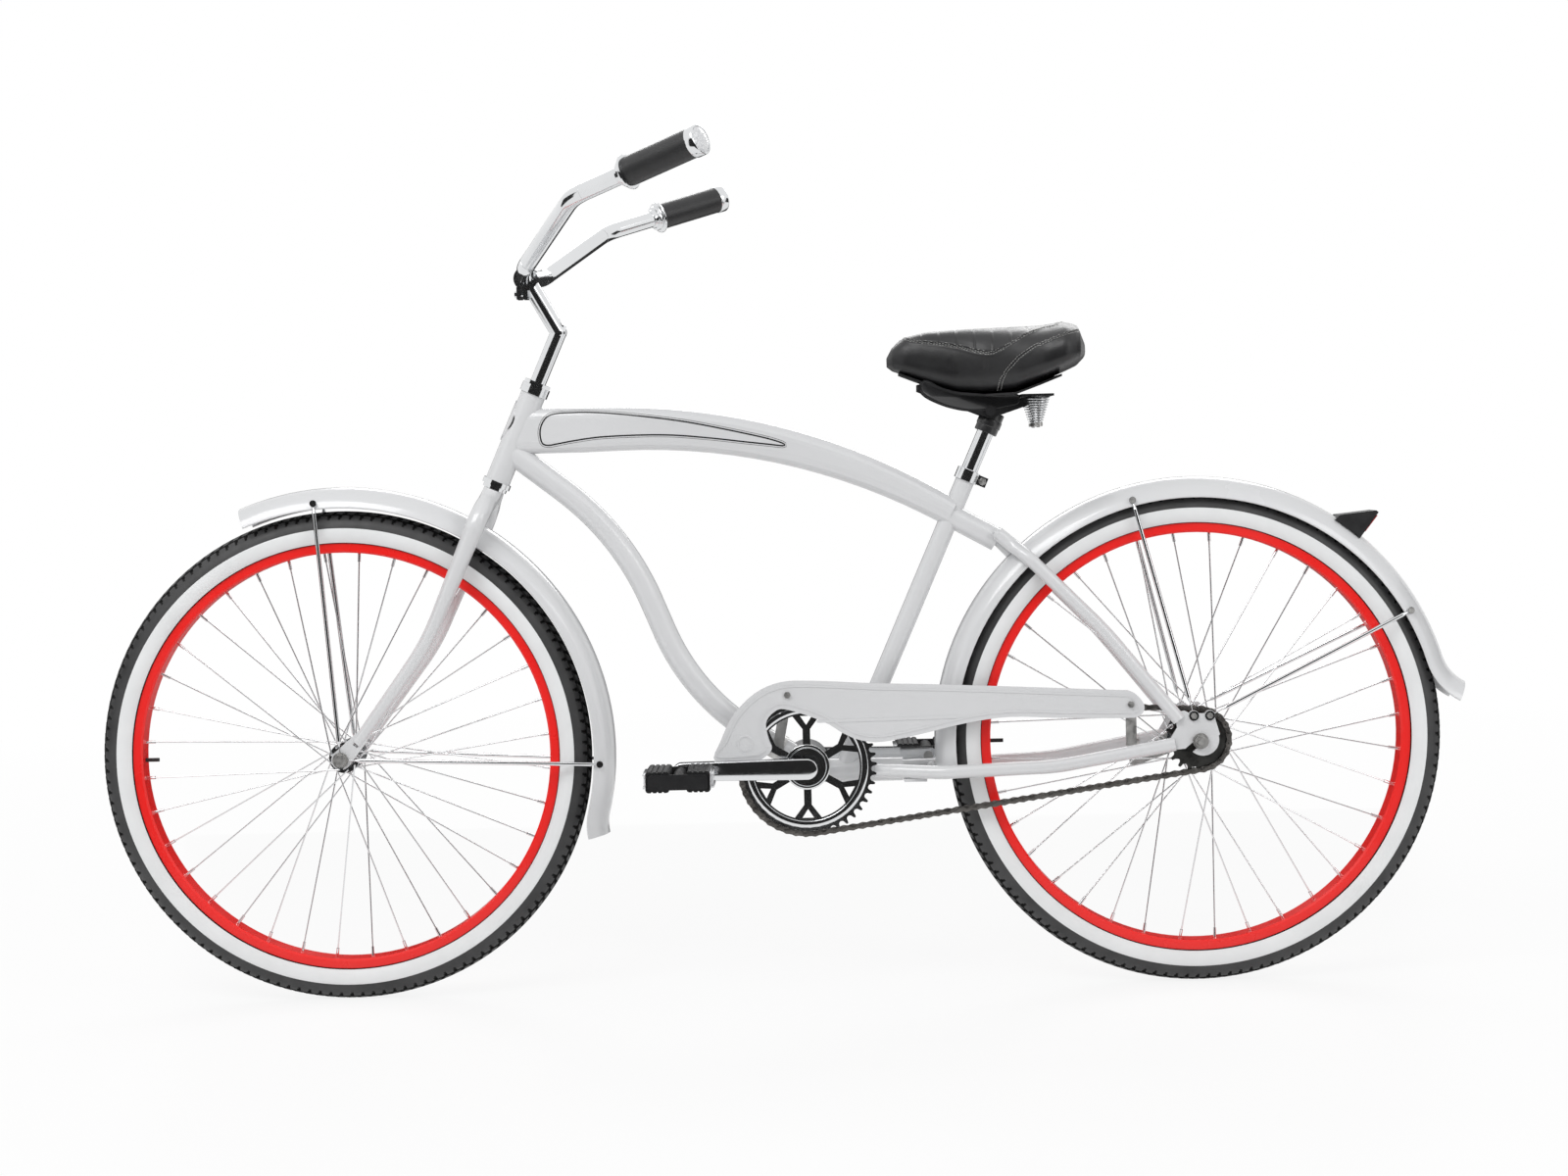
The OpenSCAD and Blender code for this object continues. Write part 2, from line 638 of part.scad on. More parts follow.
// Holes for the rivets of the stays, through both skirts
rivet_r = 2;
rivet_drop = 19;
rod_eye_r = 4.5;
function skirt_y(drop) = sqrt(fender_round * fender_round - (fender_round - drop) * (fender_round - drop));
eye_face = skirt_y(fender_depth) + bead_out + 0.15;
module rivet_line(at, a, r) {
    p = on_wheel(at, a, r - rivet_drop, 0);
    translate([p[0], -60, p[2]]) rotate([-90, 0, 0]) children();
}
module fender_rivet(at, a, r) {
    inside = skirt_y(rivet_drop) - 4;
    rivet_line(at, a, r) {
        translate([0, 0, 60 - eye_face - rod_eye_t - 2.05]) cylinder(h = 2, r = 4);
        translate([0, 0, 60 - eye_face - rod_eye_t - 1]) cylinder(h = rod_eye_t + 1 + eye_face - inside + 1, r = rivet_r);
        translate([0, 0, 60 - inside]) cylinder(h = 2, r = 3.4);
    }
}
module fender_holes(at, r, angles) {
    for (a = angles) rivet_line(at, a, r) cylinder(h = 120, r = rivet_r + 0.15);
}
rear_front_end = 187;
reflector_angle = 52;
module rear_fender() {
    color(gloss_white) difference() {
        fender_sheet(rear_axle_at, rear_fender_r, tail_angle, rear_front_end, tail_turn);
        fender_holes(rear_axle_at, rear_fender_r, rear_rod_angles);
        translate([bridge_x, 0, lower_z - 1]) rotate([0, 90, 0]) cylinder(h = 20, r = fender_screw_r + 0.1);
    }
}
// A stay rod from its eye at the frame to its eye on the fender
module stay_rod(from, to) {
    r = fender_rod_d / 2;
    neck_r = 0.7;
    out = [0, 0.9, 0];
    far = norm(to - from + out);
    turned(from - out, to, [[5, neck_r], [18, neck_r], [25, r], [far - 13, r], [far - 5, neck_r], [far - 3, neck_r]]);
    across(from - [0, rod_eye_t / 2, 0]) cylinder(h = rod_eye_t, r = 6.5);
    across(to - [0, rod_eye_t / 2, 0]) cylinder(h = rod_eye_t, r = rod_eye_r);
}
function rod_foot_y(plate, t) = -plate - t / 2 - rod_eye_t / 2 - 0.05;
rod_head_y = -eye_face - rod_eye_t / 2;
module rear_fender_stays() {
    color(gloss_white) both_sides() for (i = [0, 1]) difference() {
        q = stay_bolt_at[i];
        foot = [rear_x + q[0], rod_foot_y(plate_y, dropout_t), tyre_r + q[1]];
        head = on_wheel(rear_axle_at, rear_rod_angles[i], rear_fender_r - rivet_drop, rod_head_y);
        stay_rod(foot, head);
        across([foot[0], -90, foot[2]]) cylinder(h = 60, r = stay_bolt_r + 0.1);
        across([head[0], -90, head[2]]) cylinder(h = 60, r = rivet_r + 0.1);
    }
}
// The fender's outside as a full ring, for what lies against it
module fender_solid(at, r) {
    round_wheel(at) rotate_extrude() difference() {
        translate([r - fender_round, 0]) circle(r = fender_round + 0.03);
        translate([r - fender_round * 3, -fender_round * 2]) square([fender_round * 3 - fender_depth + 3, fender_round * 4]);
    }
}

// Chain guard: a smooth outline through hand-set points about the crank axis
guard_points = [
    [-121, 11], [-113, 39], [-96, 72], [-67, 100], [-33, 114], [10, 115], [90, 110], [204, 105], [400, 94],
    [427, 92], [441, 82], [447, 69], [439, 58], [417, 56], [340, 58], [269, 61], [210, 54], [151, 41], [100, 32],
    [71, 35], [48, 45], [22, 61], [-26, 78], [-43, 74], [-53, 60], [-50, 40], [-46, 26], [-56, 15], [-70, 11]
];
smooth_steps = 4;
// Points of an outline moved inwards
function inset(p, d) = let (n = len(p)) [for (i = [0 : n - 1])
    let (e = p[(i + 1) % n] - p[(i + n - 1) % n]) p[i] + d * [e[1], -e[0]] / norm(e)];
function smooth(p) = let (n = len(p)) [for (i = [0 : n - 1], k = [0 : smooth_steps - 1])
    let (a = p[(i + n - 1) % n], b = p[i], c = p[(i + 1) % n], e = p[(i + 2) % n], t = k / smooth_steps)
    (2 * b + (c - a) * t + (2 * a - 5 * b + 4 * c - e) * t * t + (3 * b - a - 3 * c + e) * t * t * t) / 2];
module chain_guard() {
    color(gloss_white) difference() {
        translate([crank_x, 0, crank_height]) {
            upright(guard_y - guard_t, guard_y) polygon(smooth(guard_points));
            upright(guard_y - guard_t - 0.8, guard_y - guard_t) difference() {
                polygon(smooth(inset(guard_points, 6)));
                polygon(smooth(inset(guard_points, 8.5)));
            }
            upright(guard_y - guard_t - 0.8, guard_y - guard_t) capsule([16, 61], [202, 63], 2);
            ring([-81, 0, 34], 11, 8.5, guard_y - guard_t - 0.8, guard_y - guard_t);
        }
        for (q = [guard_rear_screw, guard_front_screw])
            translate([q[0], guard_y + 5, q[1]]) rotate([90, 0, 0]) cylinder(h = 20, r = screw_r + 0.1);
    }
}
// Brackets: a clamp on the down tube and a strap from the chain stay carry the guard
strap_w = 14;
strap_t = 1.9;
band_away = 45;
module guard_brackets() {
    back = guard_y + 0.05;
    screw = guard_front_screw;
    tube_dir = dir(crank_at, down_path[2]);
    band = crank_at + band_away * tube_dir;
    side = -down_tube_d / 2 - 0.1;
    over_z = screw[1] + 7;
    color(steel) {
        difference() {
            union() {
                rod(band - strap_w / 2 * tube_dir, band + strap_w / 2 * tube_dir, down_tube_d / 2 + strap_t, down_tube_d / 2 + strap_t);
                upright(side - strap_t, side) capsule([band[0], band[2]], [screw[0], over_z - strap_w / 2 + 1], strap_w / 2);
                translate([screw[0] - strap_w / 2, back, over_z - strap_t]) cube([strap_w, side - back, strap_t]);
                translate([screw[0] - strap_w / 2, back, screw[1] - strap_w / 2]) cube([strap_w, strap_t, over_z - screw[1] + strap_w / 2]);
            }
            bent_rod(down_path, down_bends, down_tube_d / 2 + seat_gap);
            across([screw[0], -60, screw[1]]) cylinder(h = 30, r = screw_r + 0.1);
        }
        difference() {
            translate([guard_rear_screw[0] - strap_w / 2, back, guard_rear_screw[1] - 63]) cube([strap_w, strap_t, 70]);
            across([guard_rear_screw[0], -60, guard_rear_screw[1]]) cylinder(h = 30, r = screw_r + 0.1);
            bent_rod(chain_stay_path, chain_stay_bends, stay_r + seat_gap);
        }
    }
}

// Rear reflector on the fender's crown
reflector_w = 44;
reflector_h = 32;
module on_fender(a) { round_wheel(rear_axle_at) rotate(a) translate([rear_fender_r, 0, 0]) children(); }
module reflector_housing() {
    color(black) difference() {
        on_fender(reflector_angle) translate([0, 0, -reflector_w / 2]) linear_extrude(reflector_w)
            polygon([[-6, 27], [2.5, 26], [36, -9], [36, -13], [-6, -14]]);
        on_fender(reflector_angle) translate([4, -18, -reflector_w / 2 + 3]) cube([reflector_h - 4, 8, reflector_w - 6]);
        fender_solid(rear_axle_at, rear_fender_r);
    }
}
module reflector_lens() {
    color(red) difference() {
        on_fender(reflector_angle) translate([5.2, -15, -reflector_w / 2 + 3.1])
            cube([reflector_h - 5.4, 4.9, reflector_w - 6.2]);
        fender_solid(rear_axle_at, rear_fender_r);
    }
}

// Hubs, axles and bearings
hub_pocket = 7;
flange_t = 2.6;
ball_gap = 0.08;
front_hub = [11.5, 11, 5.2, 2.3, front_axle_d / 2, front_flange_d / 2, front_flange_gap / 2, front_hub_w / 2];
rear_hub_size = [21, 18.5, 17, 2.6, rear_axle_d / 2, rear_flange_d / 2, rear_flange_gap / 2, rear_hub_w / 2];
// Sizes of a hub: shell, pocket, bore, ball, axle, flange, half gap and half width
module hub_shell(at, h) {
    end = h[6] + 6;
    difference() {
        union() {
            disc(at, h[0], -end + 1, end - 1);
            both_sides() disc(at, h[5], -h[6] - flange_t / 2, -h[6] + flange_t / 2);
            both_sides() disc(at, h[1] + 2.5, -end, -h[6]);
        }
        disc(at, h[2], -end - 1, end + 1);
        both_sides() disc(at, h[1], -end - 1, -end + hub_pocket);
        spoke_holes(at, h);
    }
}
function ball_y(h) = h[6] + 6 - hub_pocket + h[3] + ball_gap;
module hub_bearings(at, h, count) {
    y = ball_y(h);
    both_sides() {
        for (k = [0 : count - 1])
            translate(on_wheel(at, 360 * k / count, h[1] - h[3] - ball_gap, -y)) sphere(r = h[3], $fn = 24);
        difference() {
            union() {
                disc(at, h[1] - 0.4, -h[6] - 6 - 1, -y - h[3] - ball_gap);
                disc(at, h[4] + 4.5, -h[7], -y - h[3] - ball_gap - 1);
            }
            disc(at, h[4] + seat_gap, -h[7] - 1, 0);
        }
    }
}
module axle_bar(at, r, half) { disc(at, r, -half, half); }
module axle_nut(at, r, y) {
    difference() {
        union() {
            nut(at, 15, r + seat_gap, -y, -y - 9);
            ring(at, 10.5, r + seat_gap, -y, -y - 2);
        }
        disc(at, r + seat_gap, -y - 20, -y + 5);
    }
}
module front_hub() { color(chrome) hub_shell(front_axle, front_hub); }
module rear_hub() { color(chrome) hub_shell(rear_axle_at, rear_hub_size); }
module front_bearings() { color(steel) hub_bearings(front_axle, front_hub, 10); }
module rear_bearings() { color(steel) hub_bearings(rear_axle_at, rear_hub_size, 16); }
front_plate_t = 5.6;
module front_axle() {
    tab_y = front_hub_w / 2 + front_plate_t + rod_eye_t + 0.5;
    color(chrome) {
        axle_bar(front_axle, front_axle_d / 2, front_hub_w / 2 + 18);
        both_sides() axle_nut(front_axle, front_axle_d / 2, tab_y + 0.05);
    }
}
module rear_axle() {
    color(chrome) {
        axle_bar(rear_axle_at, rear_axle_d / 2, rear_hub_w / 2 + 20);
        both_sides() axle_nut(rear_axle_at, rear_axle_d / 2, rear_hub_w / 2 + dropout_t + 4);
    }
}
// Coaster brake: two shoes inside the hub, and the arm on the far side with its clip
shoe_r = rear_hub_size[2] - 0.4;
module brake_shoes() {
    color(steel) difference() {
        ring(rear_axle_at, shoe_r, 11, -15, 15);
        translate([rear_x - 30, -20, tyre_r - 0.75]) cube([60, 40, 1.5]);
    }
}
arm_end = [rear_x - 74, lower_z - 2];
arm_far_y = rear_hub_w / 2 - 8;
arm_t = 3;
module brake_arm() {
    stay = [for (p = chain_stay_path) mirrored(p)];
    stay_dir = dir(stay[3], stay[4]);
    grip_at = stay[3] + stay_dir * (arm_end[0] - stay[3][0]) / stay_dir[0];
    color(steel) {
        difference() {
            upright(arm_far_y - arm_t, arm_far_y) tapered([rear_x, tyre_r], 17, arm_end, 7);
            disc(rear_axle_at, rear_hub_size[4] + 4.5 + seat_gap, 0, 80);
            across([arm_end[0], 30, arm_end[1]]) cylinder(h = 60, r = screw_r + 0.1);
        }
        difference() {
            union() {
                rod(grip_at - 6 * stay_dir, grip_at + 6 * stay_dir, stay_r + strap_t, stay_r + strap_t);
                translate([arm_end[0] - 6, arm_far_y + 0.05, arm_end[1] - 6]) cube([12, strap_t, 24]);
            }
            rod(grip_at - 20 * stay_dir, grip_at + 20 * stay_dir, stay_r + seat_gap, stay_r + seat_gap);
            across([arm_end[0], 30, arm_end[1]]) cylinder(h = 60, r = screw_r + 0.1);
        }
    }
}

// Wheels
module tyre_solid(at) {
    round_wheel(at) rotate_extrude($fn = 128) {
        difference() {
            translate([tyre_ring_r, 0]) circle(r = section_r);
            translate([tyre_ring_r, 0]) circle(r = section_r - 4);
            translate([rim_r - 30, -section_r]) square([30.3, 2 * section_r]);
        }
        for (side = [-1, 1]) translate([rim_r - 3, side * (rim_w / 2 - rim_wall - 1.65)]) square([8, 3], center = true);
    }
}
tube_r = section_r - 5.8;
valve_angle = 180;
module inner_tube(at) {
    round_wheel(at) rotate(valve_angle) difference() {
        union() {
            rotate_extrude() translate([tyre_ring_r, 0]) circle(r = tube_r);
            translate([bed_r - 18, 0, 0]) rotate([0, 90, 0]) cylinder(h = 30, r = 2.6);
        }
        rotate_extrude() translate([tyre_ring_r, 0]) circle(r = tube_r - 1.2);
        translate([bed_r - 19, 0, 0]) rotate([0, 90, 0]) cylinder(h = 34, r = 1.3);
    }
}
module rim_section() {
    difference() {
        translate([bed_r, -rim_w / 2]) square([rim_depth, rim_w]);
        translate([bed_r + bed_t, -rim_w / 2 + rim_wall]) square([rim_depth, rim_w - 2 * rim_wall]);
        for (side = [-1, 1]) translate([bed_r, side * rim_w / 2]) rotate(45) square(3.5, center = true);
    }
}
// Spokes: each crosses its neighbours on its own side, inside or outside the flange in turn
spoke_cross = 60;
nipple_len = 15;
function spoke_side(k) = k % 2 == 0 ? -1 : 1;
function spoke_lead(k) = floor(k / 2) % 2 == 0 ? -1 : 1;
function hub_angle(k) = (k + 0.5) * 360 / spoke_count + spoke_lead(k) * spoke_cross;
function spoke_off(k) = spoke_lead(k) > 0 ? 0.85 : 0.1;
function spoke_foot(at, k, h) =
    on_wheel(at, hub_angle(k), h[5] - 3,
        spoke_side(k) * (h[6] + spoke_lead(k) * (flange_t / 2 + spoke_d / 2 + spoke_off(k))));
function spoke_head(at, k) = on_wheel(at, (k + 0.5) * 360 / spoke_count, bed_r + bed_t + 1, spoke_side(k) * 2);
module spoke_holes(at, h) {
    for (k = [0 : spoke_count - 1])
        translate(on_wheel(at, hub_angle(k), h[5] - 3, spoke_side(k) * h[6])) rotate([90, 0, 0])
            cylinder(h = flange_t + 1, r = spoke_d / 2 + 0.1, center = true, $fn = 16);
}
module spoke_line(at, k, h) {
    foot = spoke_foot(at, k, h);
    head = spoke_head(at, k);
    translate(head) along(dir(head, foot)) translate([0, 0, -6]) cylinder(h = nipple_len, r = spoke_d + 0.1, $fn = 24);
}
module spokes_set(at, h) {
    for (k = [0 : spoke_count - 1]) {
        foot = spoke_foot(at, k, h);
        head = spoke_head(at, k);
        d = dir(head, foot);
        turn_in = -spoke_side(k) * spoke_lead(k);
        rod(head + 4 * d, foot, spoke_d / 2, spoke_d / 2);
        translate(foot) sphere(r = spoke_d * 0.6, $fn = 24);
        translate(foot) rotate([-90 * turn_in, 0, 0]) {
            cylinder(h = flange_t + spoke_d + spoke_off(k), r = spoke_d / 2, $fn = 24);
            translate([0, 0, flange_t + spoke_d / 2 + 0.1 + spoke_off(k)]) cylinder(h = 1.2, r = spoke_d * 0.95, $fn = 24);
        }
        difference() {
            translate(head) along(d) cylinder(h = nipple_len, r = spoke_d, $fn = 24);
            translate(head) along(d) translate([0, 0, 3]) cylinder(h = nipple_len, r = spoke_d / 2 + seat_gap, $fn = 24);
        }
    }
}
module front_tyre() { color(gloss_white) tyre_solid(front_axle); }
module rear_tyre() { color(gloss_white) tyre_solid(rear_axle_at); }
module front_inner_tube() { color(black) inner_tube(front_axle); }
module rear_inner_tube() { color(black) inner_tube(rear_axle_at); }
module wheel_rim(at, h) {
    color(red) difference() {
        round_wheel(at) rotate_extrude() rim_section();
        for (k = [0 : spoke_count - 1]) spoke_line(at, k, h);
        round_wheel(at) rotate(valve_angle) translate([bed_r - 5, 0, 0]) rotate([0, 90, 0]) cylinder(h = 12, r = 2.8);
    }
}
module front_rim() { wheel_rim(front_axle, front_hub); }
module rear_rim() { wheel_rim(rear_axle_at, rear_hub_size); }
module front_spokes() { color(chrome) spokes_set(front_axle, front_hub); }
module rear_spokes() { color(chrome) spokes_set(rear_axle_at, rear_hub_size); }

// Sprockets and chain: rollers sit between the teeth on both pitch circles
ring_pitch_r = chain_pitch / 2 / sin(180 / ring_teeth);
cog_pitch_r = chain_pitch / 2 / sin(180 / cog_teeth);
axle_gap = [rear_x - crank_x, tyre_r - crank_height];
axle_dist = norm(axle_gap);
axle_rise = atan2(axle_gap[1], axle_gap[0]);
wrap = asin((ring_pitch_r - cog_pitch_r) / axle_dist);
straight_len = axle_dist * cos(wrap);
ring_wrap = 180 + 2 * wrap;
cog_wrap = 180 - 2 * wrap;
ring_units = ring_teeth * ring_wrap / 360;
cog_units = cog_teeth * cog_wrap / 360;
links = 2 * round((2 * straight_len / chain_pitch + ring_units + cog_units) / 2);
run_units = (links - ring_units - cog_units) / 2;
top_angle = 90 + axle_rise - wrap;
low_angle = -90 + axle_rise + wrap;
// The pin of link i: upper run, round the cog, lower run, round the chainring
function chain_at(i) =
    let (u = (i + links) % links, past_top = u - run_units, past_cog = past_top - cog_units, past_low = past_cog - run_units,
        step = straight_len / run_units)
    past_top < 0 ? [crank_x, crank_height] + ring_pitch_r * [cos(top_angle), sin(top_angle)]
            + u * step * [sin(top_angle), -cos(top_angle)]
        : past_cog < 0 ? let (a = top_angle - past_top * 360 / cog_teeth)
            [rear_x, tyre_r] + cog_pitch_r * [cos(a), sin(a)]
        : past_low < 0 ? [rear_x, tyre_r] + cog_pitch_r * [cos(low_angle), sin(low_angle)]
            + past_cog * step * [sin(low_angle), -cos(low_angle)]
        : let (a = low_angle - past_low * 360 / ring_teeth)
            [crank_x, crank_height] + ring_pitch_r * [cos(a), sin(a)];
cog_first = top_angle - (ceil(run_units) - run_units) * 360 / cog_teeth;
roller_r = 3.9;
pin_r = 1.8;
plate_r = 4.1;
inner_half = 2.4;
link_t = 0.9;
module chain_plate(a, b, y) {
    upright(y - link_t / 2, y + link_t / 2) capsule(a, b, plate_r);
}
module chain_pin(p, r, half) { disc([p[0], 0, p[1]], r, -chain_line - half, -chain_line + half); }
module chain() {
    inner_y = inner_half + link_t / 2;
    outer_y = inner_y + link_t + 0.08;
    color(steel) for (i = [0 : links - 1]) {
        a = chain_at(i);
        b = chain_at(i + 1);
        if (i % 2 == 0) difference() {
            union() {
                for (side = [-1, 1]) chain_plate(a, b, -chain_line + side * inner_y);
                for (p = [a, b]) chain_pin(p, roller_r, inner_half + 0.02);
            }
            for (p = [a, b]) chain_pin(p, pin_r + 0.08, 9);
        } else {
            for (side = [-1, 1]) chain_plate(a, b, -chain_line + side * outer_y);
            for (p = [a, b]) chain_pin(p, pin_r, outer_y + link_t / 2);
        }
    }
}
tooth_gap_r = 4.05;
module toothed(pitch_r, teeth, first) {
    difference() {
        circle(r = pitch_r + 3.4);
        for (k = [0 : teeth - 1]) rotate(first + 360 * k / teeth) translate([pitch_r, 0]) {
            circle(r = tooth_gap_r, $fn = 32);
            polygon([[0, -tooth_gap_r], [6, -6.6], [6, 6.6], [0, tooth_gap_r]]);
        }
    }
}
ring_t = 3;
rib_ring_r = ring_pitch_r * 0.786;
hub_ring_r = 26;
module chainring_shape() {
    difference() {
        toothed(ring_pitch_r, ring_teeth, top_angle);
        difference() {
            circle(r = rib_ring_r);
            circle(r = hub_ring_r);
            for (k = [0 : 5]) rotate(30 + 60 * k) {
                translate([hub_ring_r - 2, -5]) square([rib_ring_r, 10]);
                polygon([[rib_ring_r - 26, 0], [rib_ring_r + 3, -22], [rib_ring_r + 3, 22]]);
            }
        }
        for (k = [0 : 5]) rotate(30 + 60 * k) polygon([[rib_ring_r - 14, 0], [rib_ring_r - 2, -8], [rib_ring_r - 2, 8]]);
        circle(r = crank_axle_r + seat_gap);
    }
}
module chainring() {
    color(chrome) upright(-chain_line - ring_t / 2, -chain_line + ring_t / 2) translate([crank_x, crank_height])
        chainring_shape();
}
driver_r = 15;
module rear_cog() {
    color(steel) difference() {
        union() {
            upright(-chain_line - ring_t / 2 + 0.2, -chain_line + ring_t / 2 - 0.2) translate([rear_x, tyre_r])
                toothed(cog_pitch_r, cog_teeth, cog_first);
            disc(rear_axle_at, driver_r, -chain_line - 3, -rear_hub_size[6] - 7.6);
        }
        disc(rear_axle_at, rear_hub_size[4] + 4.5 + run, -chain_line - 9, 0);
    }
}

// One-piece crank, its bearings and the pedal spindles
arm_y = 56;
arm_end_r = 12;
arm_boss_r = 14;
eye_r = 6.5;
function eye_at(side) = crank_at + [side * crank_len, 0, 0];
module crank_arm(side) {
    hub = [crank_x, crank_height];
    upright(side * (arm_y + crank_t), side * arm_y) difference() {
        tapered(hub, arm_boss_r, hub + [side * crank_len, 0], arm_end_r);
        translate(hub + [side * crank_len, 0]) circle(r = eye_r + seat_gap);
    }
}
module crank() {
    color(chrome) {
        for (side = [-1, 1]) crank_arm(side);
        disc(crank_at, crank_axle_r, -arm_y - 1, arm_y + 1);
    }
}
crank_ball_y = shell_w / 2 - 10 + crank_ball_r + ball_gap;
module crank_bearings() {
    face = shell_w / 2;
    color(steel) both_sides() {
        for (k = [0 : 10]) translate(on_wheel(crank_at, 360 * k / 11, crank_ball_ring_r, -crank_ball_y))
            sphere(r = crank_ball_r, $fn = 24);
        ring(crank_at, crank_pocket_r - 0.4, crank_axle_r + seat_gap, -face - crank_cup_t - 2.2, -crank_ball_y - crank_ball_r - ball_gap);
    }
}
pedal_in = 85;
spindle_r = 5;
spindle_end = pedal_in + pedal_w - 6;
module pedal_spindles() {
    color(steel) for (side = [-1, 1]) {
        at = eye_at(side);
        disc(at, eye_r, side * (arm_y + 0.5), side * (arm_y + crank_t + 1));
        disc(at, 8, side * (arm_y + crank_t + 0.05), side * (pedal_in - 1));
        disc(at, spindle_r, side * (arm_y + crank_t), side * spindle_end);
    }
}
tread_gap = 22;
module pedal(side) {
    at = eye_at(side);
    y0 = side * pedal_in;
    y1 = side * (pedal_in + pedal_w);
    color(black) difference() {
        union() {
            disc(at, 9, y0, y1);
            for (y = [y0, y1 - side * 4]) upright(y, y + side * 4) translate([at[0], at[2]]) round_box(pedal_len - 6, 20, 5);
            for (end = [-1, 1]) upright(y0 + side * 3, y1 - side * 3)
                translate([at[0] + end * (pedal_len + tread_gap) / 4, at[2]]) difference() {
                    round_box((pedal_len - tread_gap) / 2, pedal_h, 4);
                    for (k = [-1, 0, 1], z = [-1, 1]) translate([k * 7, z * pedal_h / 2]) circle(r = 1.4, $fn = 16);
                }
        }
        disc(at, spindle_r + run, y0 - side * 9, spindle_end * side + side);
    }
}
module near_pedal() { pedal(-1); }
module far_pedal() { pedal(1); }

// Fork: steerer and two bent, tapering blades
blade_y = 50.5;
blade_corner_s = 182;
blade_bend_r = 300;
blade_slope = (fork_rake - 4.7) / blade_corner_s;
blade_low_s = 24;
blade_mid_r = 9.5;
fork_wall = 1.8;
// A turned piece along a line, from pairs of distance and radius
module turned(from, to, q) {
    translate(from) along(dir(from, to)) rotate_extrude() polygon(concat(
        [[0, q[0][0]]], [for (v = q) [v[1], v[0]]], [[0, q[len(q) - 1][0]]]));
}
module fork_blade(less) {
    top = [[0, -6, 416], [0, -16, 392], [0, -blade_y, 372], [0, -blade_y, 348]];
    corner = [0, -blade_y, blade_corner_s];
    low = [-blade_slope * (blade_corner_s - blade_low_s), -blade_y, blade_low_s];
    path = [[0, -blade_y, 347], corner, low];
    in = blade_bend_r * tan(turn(path, 1) / 2);
    bent_rod(top, [0, 30, 40, 0], blade_d / 2 - less);
    turned([0, -blade_y, 350], corner, [[0, blade_d / 2 - less - lap_step], [2, blade_d / 2 - less - lap_step],
        [350 - blade_corner_s - in + lap, blade_mid_r - less]]);
    bend(path, 1, blade_bend_r, blade_mid_r - less);
    turned(corner + (in - lap) * dir(corner, low), low, [[0, blade_mid_r - less],
        [norm(low - corner) - in + lap, blade_tip_d / 2 - less]]);
}
module fork() {
    plate = [front_x, tyre_r];
    tip = steer(-blade_slope * (blade_corner_s - blade_low_s - 12), 0, blade_low_s + 12);
    color(gloss_white) difference() {
        union() {
            steering() {
                difference() {
                    both_sides() fork_blade(0);
                    translate([-40, -60, crown_top]) cube([80, 120, 60]);
                }
                translate([0, 0, crown_top - 18]) cylinder(h = steerer_top - crown_top + 18, r = steerer_d / 2);
            }
            both_sides() upright(-front_hub_w / 2 - front_plate_t, -front_hub_w / 2)
                difference() {
                    tapered(plate, 13, [tip[0], tip[2]], 9);
                    capsule(plate, plate + [-6, -40], front_axle_d / 2 + 0.1);
                }
        }
        both_sides() disc(front_axle, 30, -80, -front_hub_w / 2 - front_plate_t);
        steering() {
            both_sides() fork_blade(fork_wall);
            translate([0, 0, crown_top - 30]) cylinder(h = 300, r = quill_d / 2 + seat_gap);
        }
    }
}
cone_lip = 1.2;
module headset_cones() {
    hole = steerer_d / 2 + seat_gap;
    low = fork_reach - cup_h;
    color(chrome) steering() difference() {
        union() {
            translate([0, 0, head_top + cup_h + 0.1]) cylinder(h = 5, r = cup_r);
            translate([0, 0, head_top + cup_h - race_depth + 3.1 + ball_gap]) cylinder(h = 3, r = cup_race_r - 0.3);
            translate([0, 0, head_top + cup_h + 5.15]) cylinder(h = 5, r = cup_r * 0.95, $fn = 6);
            translate([0, 0, crown_top + 0.05]) cylinder(h = low - crown_top - 0.15, r = cup_race_r);
            translate([0, 0, crown_top + 1]) cylinder(h = low - crown_top - 1 + race_depth - 3.2 - ball_gap, r = cup_race_r - 0.3);
        }
        cylinder(h = 900, r = hole);
    }
}
head_ball_r = 1.5;
module headset_balls() {
    ring_r = steerer_d / 2 + 0.25 + head_ball_r + 0.1;
    color(steel) steering() for (z = [head_top + cup_h - race_depth + head_ball_r + 0.07, fork_reach - cup_h + race_depth - head_ball_r - 0.07],
        k = [0 : 19]) rotate(18 * k) translate([ring_r, 0, z]) sphere(r = head_ball_r, $fn = 24);
}

